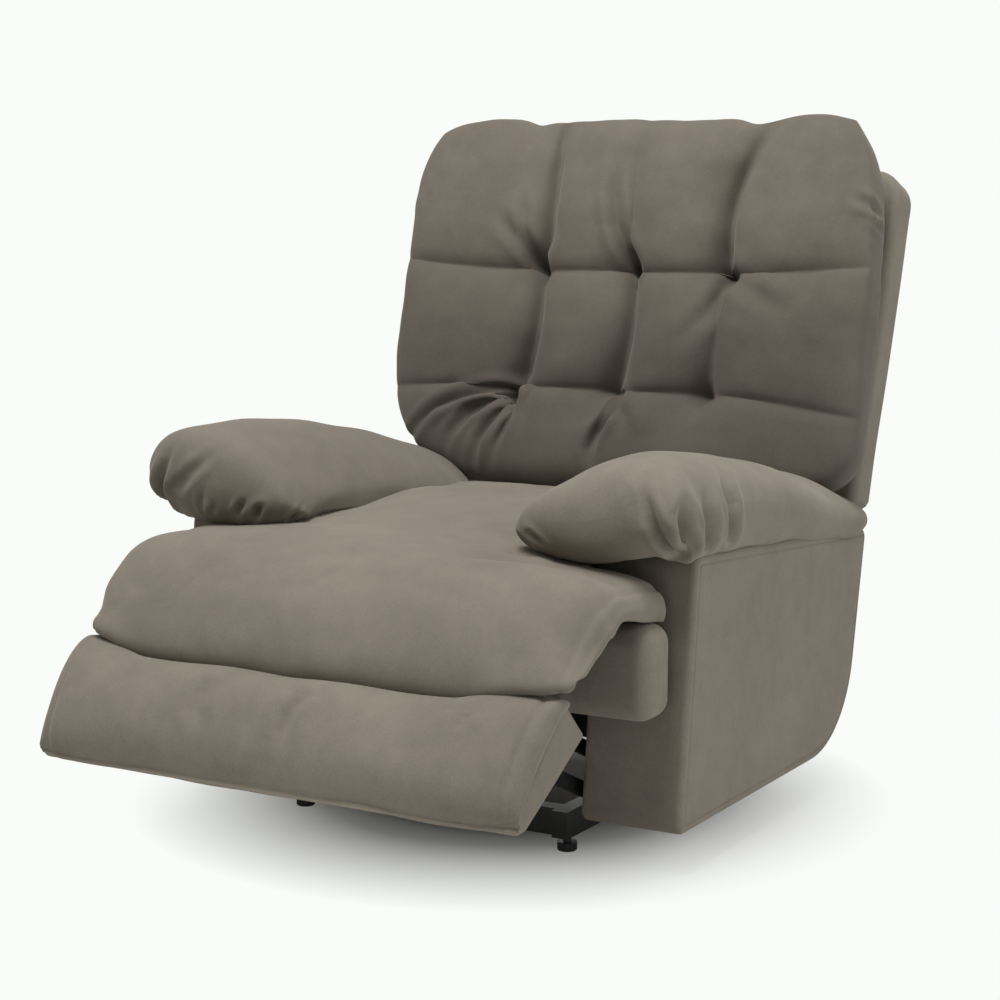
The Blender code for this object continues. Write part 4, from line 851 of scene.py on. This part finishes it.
arm_pillow = stuffed(wrapped("arm_pillow_cover_left", pillow_rings()), pillow_held, 2.5, 0.008, 3.0)
refined(arm_pillow)
other_mesh = arm_pillow.data.copy()
for hand, seed, plumpness in (("left", 31, 0.965), ("right", 37, 1.04)):
    if hand == "right":
        arm_pillow = shown("arm_pillow_cover_right", other_mesh)
        moved(arm_pillow, places(arm_pillow) * (-1.0, 1.0, 1.0))
        other_mesh.flip_normals()
    points = places(arm_pillow)
    points[:, 2] += (plumpness - 1) * np.maximum(points[:, 2] - 0.45, 0.0)
    moved(arm_pillow, points)
    folded(arm_pillow, OUTER_PLEATS, 0.2, outer_front)
    folded(arm_pillow, LEFT_PLEATS if hand == "left" else RIGHT_PLEATS, 0.2)
    rumpled(arm_pillow, 0.1, 0.0016, seed)
    upholstered(arm_pillow, 0.75, "arm_pillow_" + hand, cover=suede if hand == "left" else shaded_right_suede)
    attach(arm_pillow, "carriage")

# Outer back
# A padded plywood panel with round upper corners, covered in the same suede, with a sewn line sunk round
# its rear. It is fixed to the two hinge brackets.
LEAN = math.radians(19.3)
BACK_HINGE = (0.635, 0.37)
PANEL_HALF = 0.408
PANEL_UP = (0.085, 0.656)
PANEL_OUT = (-0.11, -0.0352)
PANEL_ROUNDS = (0.018, 0.018, 0.05, 0.05)


def on_back(x, up, out):
    """A place of the back, across, up along its lean and out towards the sitter, from its hinge."""
    y = BACK_HINGE[0] + up * math.sin(LEAN) - out * math.cos(LEAN)
    z = BACK_HINGE[1] + up * math.cos(LEAN) + out * math.sin(LEAN)
    return np.stack(np.broadcast_arrays(x, y, z), axis=-1)


edge, normals = eased_outline(rectangle((-PANEL_HALF, PANEL_HALF), PANEL_UP), PANEL_ROUNDS, 280)
rear, front = PANEL_OUT
levels = [(rear - 0.004 * (1 - share**2), share, 0.018) for share in np.linspace(0, 0.95, 18)]
levels += [(rear + 0.0005, 1.0, 0.0165), (rear + 0.002, 1.0, 0.015), (rear + 0.0004, 1.0, 0.0135)]
levels += round_edge(rear, 0.013, 0.013, 7)
levels += [(out, 1.0, 0.0) for out in np.linspace(rear + 0.022, front - 0.022, 6)]
levels += round_edge(front, -0.016, 0.016, 7)[::-1]
levels += [(front, share, 0.016) for share in np.linspace(0.93, 0, 10)]
out, flat = carried(edge, normals, levels)
back_panel = wrapped("back_panel_cover", on_back(flat[..., 0], flat[..., 1], out[..., 0]))
rumpled(back_panel, 0.19, 0.001, 41)
upholstered(back_panel, 0.95, "back_panel")
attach(back_panel, "back")

# Back cushion
# A deep stuffed cushion on the outer back, four puffs wide and three high. Two seams are sewn right across
# it, and six ties pull their crossings with the upright creases far in, so the suede gathers round each tie.
CUSHION_UP = (0.043, 0.694)
CUSHION_SWELL = 0.14
CUSHION_REAR = -0.0347
TIE_X = np.array([-0.173, 0.006, 0.177])
TIE_UP = np.array([0.22, 0.43])


def cushion_half(u, v):
    """Half the cushion's width from its foot, v = -1, to its top, v = 1. The foot is tucked in further
    on the right of the chair, u = -1, than on the left."""
    ends = np.where(v < 0.1, 0.262, 0.392)
    away = np.abs(v - 0.1) / np.where(v < 0.1, 1.1, 0.9)
    power = np.where(v < 0.1, 6 + 7 * eased(-0.3, 0.3, u), 4)
    return ends + (0.438 - ends) * (1 - away**power)


def seam_rows(x):
    """Heights of the two sewn seams at places across: they dip between the ties; towards the sides the
    upper one rises and the lower one falls."""
    slack = 1 - bell(np.abs(x[..., None] - TIE_X).min(axis=-1), 0.04)
    lower = TIE_UP[0] - 0.005 * slack - 0.022 * eased(0.2, 0.46, x) - 0.008 * eased(-0.2, -0.44, x)
    upper = TIE_UP[1] - 0.009 * slack + 0.018 * np.abs(x / 0.43) ** 4
    return np.stack([lower, upper], axis=-1)


def shoulder(u, power):
    """One in the middle of a pad and nought at its edge, with a round shoulder."""
    return (1 - np.abs(u) ** power).clip(0) ** (1 / power)


def valley(distance, width):
    """One on a sewn line, falling away to nought like a pinched crease."""
    return np.exp(-(np.sqrt(distance**2 + 0.004**2) - 0.004) / width)


def cushion_relief(x, up, v):
    """How far the cover is drawn in: along the seams, along the creases and most at the ties."""
    up = up[..., None]
    row = np.abs(up - seam_rows(x)).min(axis=-1)
    bend = TIE_X + np.array([0.0, 0.0, 0.055]) * eased(0.5, 0.7, up) ** 1.3
    bend = bend + np.array([0.016, 0.0, 0.0]) * eased(0.43, 0.5, up)
    between = np.sin(np.pi * np.clip((up - TIE_UP[0]) / (TIE_UP[1] - TIE_UP[0]), 0, 1))
    bend = bend + np.array([0.02, 0.02, 0.012]) * between
    column = np.abs(x[..., None] - bend)
    above, below = eased(0.4, 0.47, up), eased(0.26, 0.19, up)
    strength = np.array([1.0, 1.0, 0.5]) * (1 - above - below)
    strength = strength + np.array([0.95, 0.35, 1.05]) * above + np.array([0.2, 0.25, 0.15]) * below
    strength = strength * (1 - 0.25 * eased(0.54, 0.7, up))
    crease = (strength * (0.028 * valley(column, 0.01) + 0.014 * valley(column, 0.036))).max(axis=-1)
    tie = np.sqrt(row**2 + column.min(axis=-1) ** 2)
    tie = 0.026 * valley(tie, 0.016) + 0.017 * valley(tie, 0.052)
    return 0.009 * valley(row, 0.006) + 0.011 * valley(row, 0.034) + crease * eased(-1.0, -0.75, v) + tie


def cushion_grid():
    """Front and rear grids of the cushion on shared places, closer together at the seams and the rim."""
    middle, half = np.mean(CUSHION_UP), np.ptp(CUSHION_UP) / 2
    seam = (TIE_UP - middle) / half
    steps = np.array([-0.024, -0.013, -0.005, 0.0, 0.005, 0.013, 0.024])
    close = np.concatenate([place + steps for place in seam])
    even = np.linspace(-0.93, 0.93, 74)
    even = even[np.abs(even[:, None] - seam).min(axis=1) > 0.03]
    v = np.sort(np.concatenate([(-1, -0.993, -0.975, -0.95, 0.95, 0.975, 0.993, 1), close, even]))
    even = np.linspace(-0.94, 0.94, 400)
    closeness = np.cumsum(1 + 2.2 * bell(even[:, None] * 0.43 - TIE_X, 0.03).sum(axis=1))
    even = np.interp(np.linspace(closeness[0], closeness[-1], 110), closeness, even)
    u = np.concatenate([(-1, -0.993, -0.98, -0.96), even, (0.96, 0.98, 0.993, 1)])
    u, v = np.meshgrid(u, v, indexing="ij")
    x = cushion_half(u, v) * u
    corner = rounded(np.abs(u) - 0.8, 0.21, 0.98) * eased(0.7, 1.0, v)
    up = middle + half * v * (1 - 0.03 * u**2) - (0.013 - 0.008 * np.sign(u)) * corner
    x = x - 0.05 * (up - 0.4)
    drawn = bell(up[..., None] - TIE_UP, 0.05)
    up = up + (drawn * (seam_rows(x) - TIE_UP)).sum(axis=-1)
    puffed = 0.01 * bell(np.abs(x) - 0.31, 0.07) - 0.006 * bell(np.abs(x) - 0.205, 0.02)
    up = up + puffed * eased(0.55, 1.0, v)
    rim = CUSHION_REAR + (0.74 + 0.13 * v) * (CUSHION_SWELL - CUSHION_REAR)
    full = shoulder(u, 3.5) * shoulder(v, 3.5)
    front = rim + (CUSHION_SWELL - rim - cushion_relief(x, up, v)) * full
    rear = rim + (CUSHION_REAR - rim) * full
    return on_back(x, up, front), on_back(x, up, rear)


front, rear = cushion_grid()
index = np.arange(front.shape[0] * front.shape[1]).reshape(front.shape[:2])
quads = np.vstack([cells(index), cells(index)[:, ::-1] + index.size])
back_cushion = sewn("back_cushion_cover", np.vstack([front.reshape(-1, 3), rear.reshape(-1, 3)]), quads)


def back_place(points):
    """Across, up and out of points in the chair's frame, a row for each."""
    y, z = points[:, 1] - BACK_HINGE[0], points[:, 2] - BACK_HINGE[1]
    up = y * math.sin(LEAN) + z * math.cos(LEAN)
    return np.stack([points[:, 0], up, -y * math.cos(LEAN) + z * math.sin(LEAN)], axis=-1)


def cushion_held(points):
    """Pinned at the panel, along the two seams and hard at the ties."""
    x, up, out = back_place(points).T
    row = np.abs(up[:, None] - seam_rows(x)).min(axis=1)
    column = np.abs(x[:, None] - TIE_X).min(axis=1)
    tie = np.hypot(row, column)
    return np.where((out < CUSHION_REAR + 0.01) | (row < 0.003) | (tie < 0.014), 1.0, 0.0)


stuffed(back_cushion, cushion_held, 2.5, 0.01, 8.0)
refined(back_cushion)


def across_and_up(points):
    """Places on the face of the back, across and up; the rear of the cushion counts as far away."""
    x, up, out = back_place(points).T
    return np.stack([x + np.where(out < 0.0, 9.0, 0.0), up], axis=-1)


GATHERS = (
    ([(-160, 214), (-215, 207), (-268, 195), (-319, 168), (-358, 132), (-400, 85)], 8.5, 15),
    ([(-165, 206), (-198, 190), (-248, 163), (-279, 124), (-300, 70)], 8.5, 11),
    ([(-168, 198), (-192, 160), (-218, 116), (-236, 45)], 8.5, 11),
    ([(-160, 196), (-168, 155), (-183, 112), (-196, 55)], 8, 8),
    ([(24, 208), (20, 174), (5, 142), (-4, 110), (2, 70)], 9, 13),
    ([(20, 206), (55, 165), (70, 120)], 10, 4.5),
    ([(190, 418), (172, 354), (147, 318), (120, 270)], 13, 7),
    ([(196, 418), (233, 396), (273, 374), (335, 343)], 14, 5.5),
    ([(-180, 440), (-205, 470), (-268, 530)], 12, 7.5),
    ([(-182, 445), (-200, 500), (-214, 570)], 10, 6),
    ([(12, 436), (-4, 465), (-20, 500), (-32, 558), (-34, 640)], 11, 12),
)
CORNER_FOLDS = (
    ([(395, 548, 128), (424, 536, 110), (440, 530, 80), (442, 530, 40)], 8, 8),
    ([(412, 520, 118), (434, 513, 92), (443, 508, 60), (442, 508, 30)], 7, 8.5),
    ([(-405, 545, 120), (-436, 534, 90), (-442, 530, 50)], 8, 5),
)
folded(back_cushion, GATHERS, 0.25, across_and_up)
folded(back_cushion, CORNER_FOLDS, 0.1, back_place)
rumpled(back_cushion, 0.13, 0.0022, 51)
rumpled(back_cushion, 0.055, 0.0005, 52)
# Painted shade: the back cushion's suede colour is darkened to half below 0.7 m height, rising to 0.72 from
# 0.92 m up, standing in for shade on the back's face, deepest low down.
shaded_back_suede = suede_finish("shaded_back_suede", ((0.7, 0.5), (0.92, 0.72)))
upholstered(back_cushion, 0.7, "back_cushion", cover=shaded_back_suede)
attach(back_cushion, "back")

# Studio
# A pale floor that turns white well away from the chair, a white surround for the lens and for
# reflections, a broad lamp above in front, a weaker one at the sitter's left, and soft light from above.
WHITE = (0.956, 0.973, 0.947, 1.0)
FLOOR_COLOUR = (0.8, 0.81, 0.795, 1.0)

floor_mesh = bpy.data.meshes.new("floor")
floor_mesh.from_pydata([(-9, -9, 0), (9, -9, 0), (9, 9, 0), (-9, 9, 0)], [], [(0, 1, 2, 3)])
floor = shown("floor", floor_mesh)
material, tree, shader, where = finish_of("pale_floor")
adjusted(shader, {"Base Color": FLOOR_COLOUR, "Roughness": 0.9, "Specular IOR Level": 0.0})
# Painted light: the lens sees a white glow mixed into the floor, 0.12 of it at 0.3 m out and all of it by
# 0.6 m, which lightens and fades the chair's shadow.
far = added(tree, "ShaderNodeVectorMath", [(0, where)], operation="LENGTH").outputs["Value"]
near_share = ranged(tree, far, 0.2, 0.3, 0.0, 0.12)
far_share = ranged(tree, far, 0.3, 0.6, 0.0, 0.88)
to_lens = added(tree, "ShaderNodeLightPath").outputs["Is Camera Ray"]
share = reckoned(tree, "MULTIPLY", reckoned(tree, "ADD", near_share, far_share), to_lens)
glow = added(tree, "ShaderNodeEmission", Color=WHITE, Strength=1.0)
both = added(tree, "ShaderNodeMixShader", [(0, share), (1, shader.outputs[0]), (2, glow.outputs[0])])
tree.links.new(both.outputs[0], tree.nodes["Material Output"].inputs["Surface"])
floor_mesh.materials.append(material)

world = bpy.data.worlds.new("studio")
world.use_nodes = True
tree = world.node_tree
sky = tree.nodes["Background"]
sky.inputs["Color"].default_value = (1.0, 0.99, 0.97, 1.0)
heading = added(tree, "ShaderNodeTexCoord").outputs["Generated"]
height = added(tree, "ShaderNodeSeparateXYZ", [("Vector", heading)]).outputs["Z"]
tree.links.new(ranged(tree, height, 0.0, 0.9, 0.1, 0.42), sky.inputs["Strength"])
paper = added(tree, "ShaderNodeBackground", Color=WHITE, Strength=1.0)
rays = added(tree, "ShaderNodeLightPath").outputs
seen = reckoned(tree, "MAXIMUM", rays["Is Camera Ray"], rays["Is Glossy Ray"])
seen = reckoned(tree, "MAXIMUM", seen, rays["Is Transmission Ray"])
both = added(tree, "ShaderNodeMixShader", [(0, seen), (1, sky.outputs[0]), (2, paper.outputs[0])])
tree.links.new(both.outputs[0], tree.nodes["World Output"].inputs["Surface"])
scene.world = world


def soft_lamp(name, place, aim, size, power):
    """A square lamp at a place, facing a point."""
    lamp = bpy.data.lights.new(name, "AREA")
    lamp.size = size
    lamp.energy = power
    holder = shown(name, lamp)
    holder.location = place
    holder.rotation_euler = (Vector(aim) - Vector(place)).to_track_quat("-Z", "Y").to_euler()


soft_lamp("key_lamp", (0.0, -1.1, 3.1), (0.0, 0.0, 0.5), 1.4, 72.0)
soft_lamp("side_lamp", (3.0, 0.5, 1.6), (0.3, 0.0, 0.4), 1.8, 27.0)

# Camera
# The photograph's own view: a long lens a little to the sitter's left and above the seat.
CAMERA_PLACE = (1.6775, -2.889, 0.9355)
CAMERA_DOWN = math.radians(8.0422)
CAMERA_TURN = math.radians(30.4363)
LENS_LENGTH = 78.03  # millimetres

lens = bpy.data.cameras.new("camera")
lens.lens = LENS_LENGTH
lens.sensor_width = 36.0
camera = shown("camera", lens)
camera.location = CAMERA_PLACE
camera.rotation_euler = (math.pi / 2 - CAMERA_DOWN, 0.0, CAMERA_TURN)
scene.camera = camera
scene.view_settings.view_transform = "Standard"
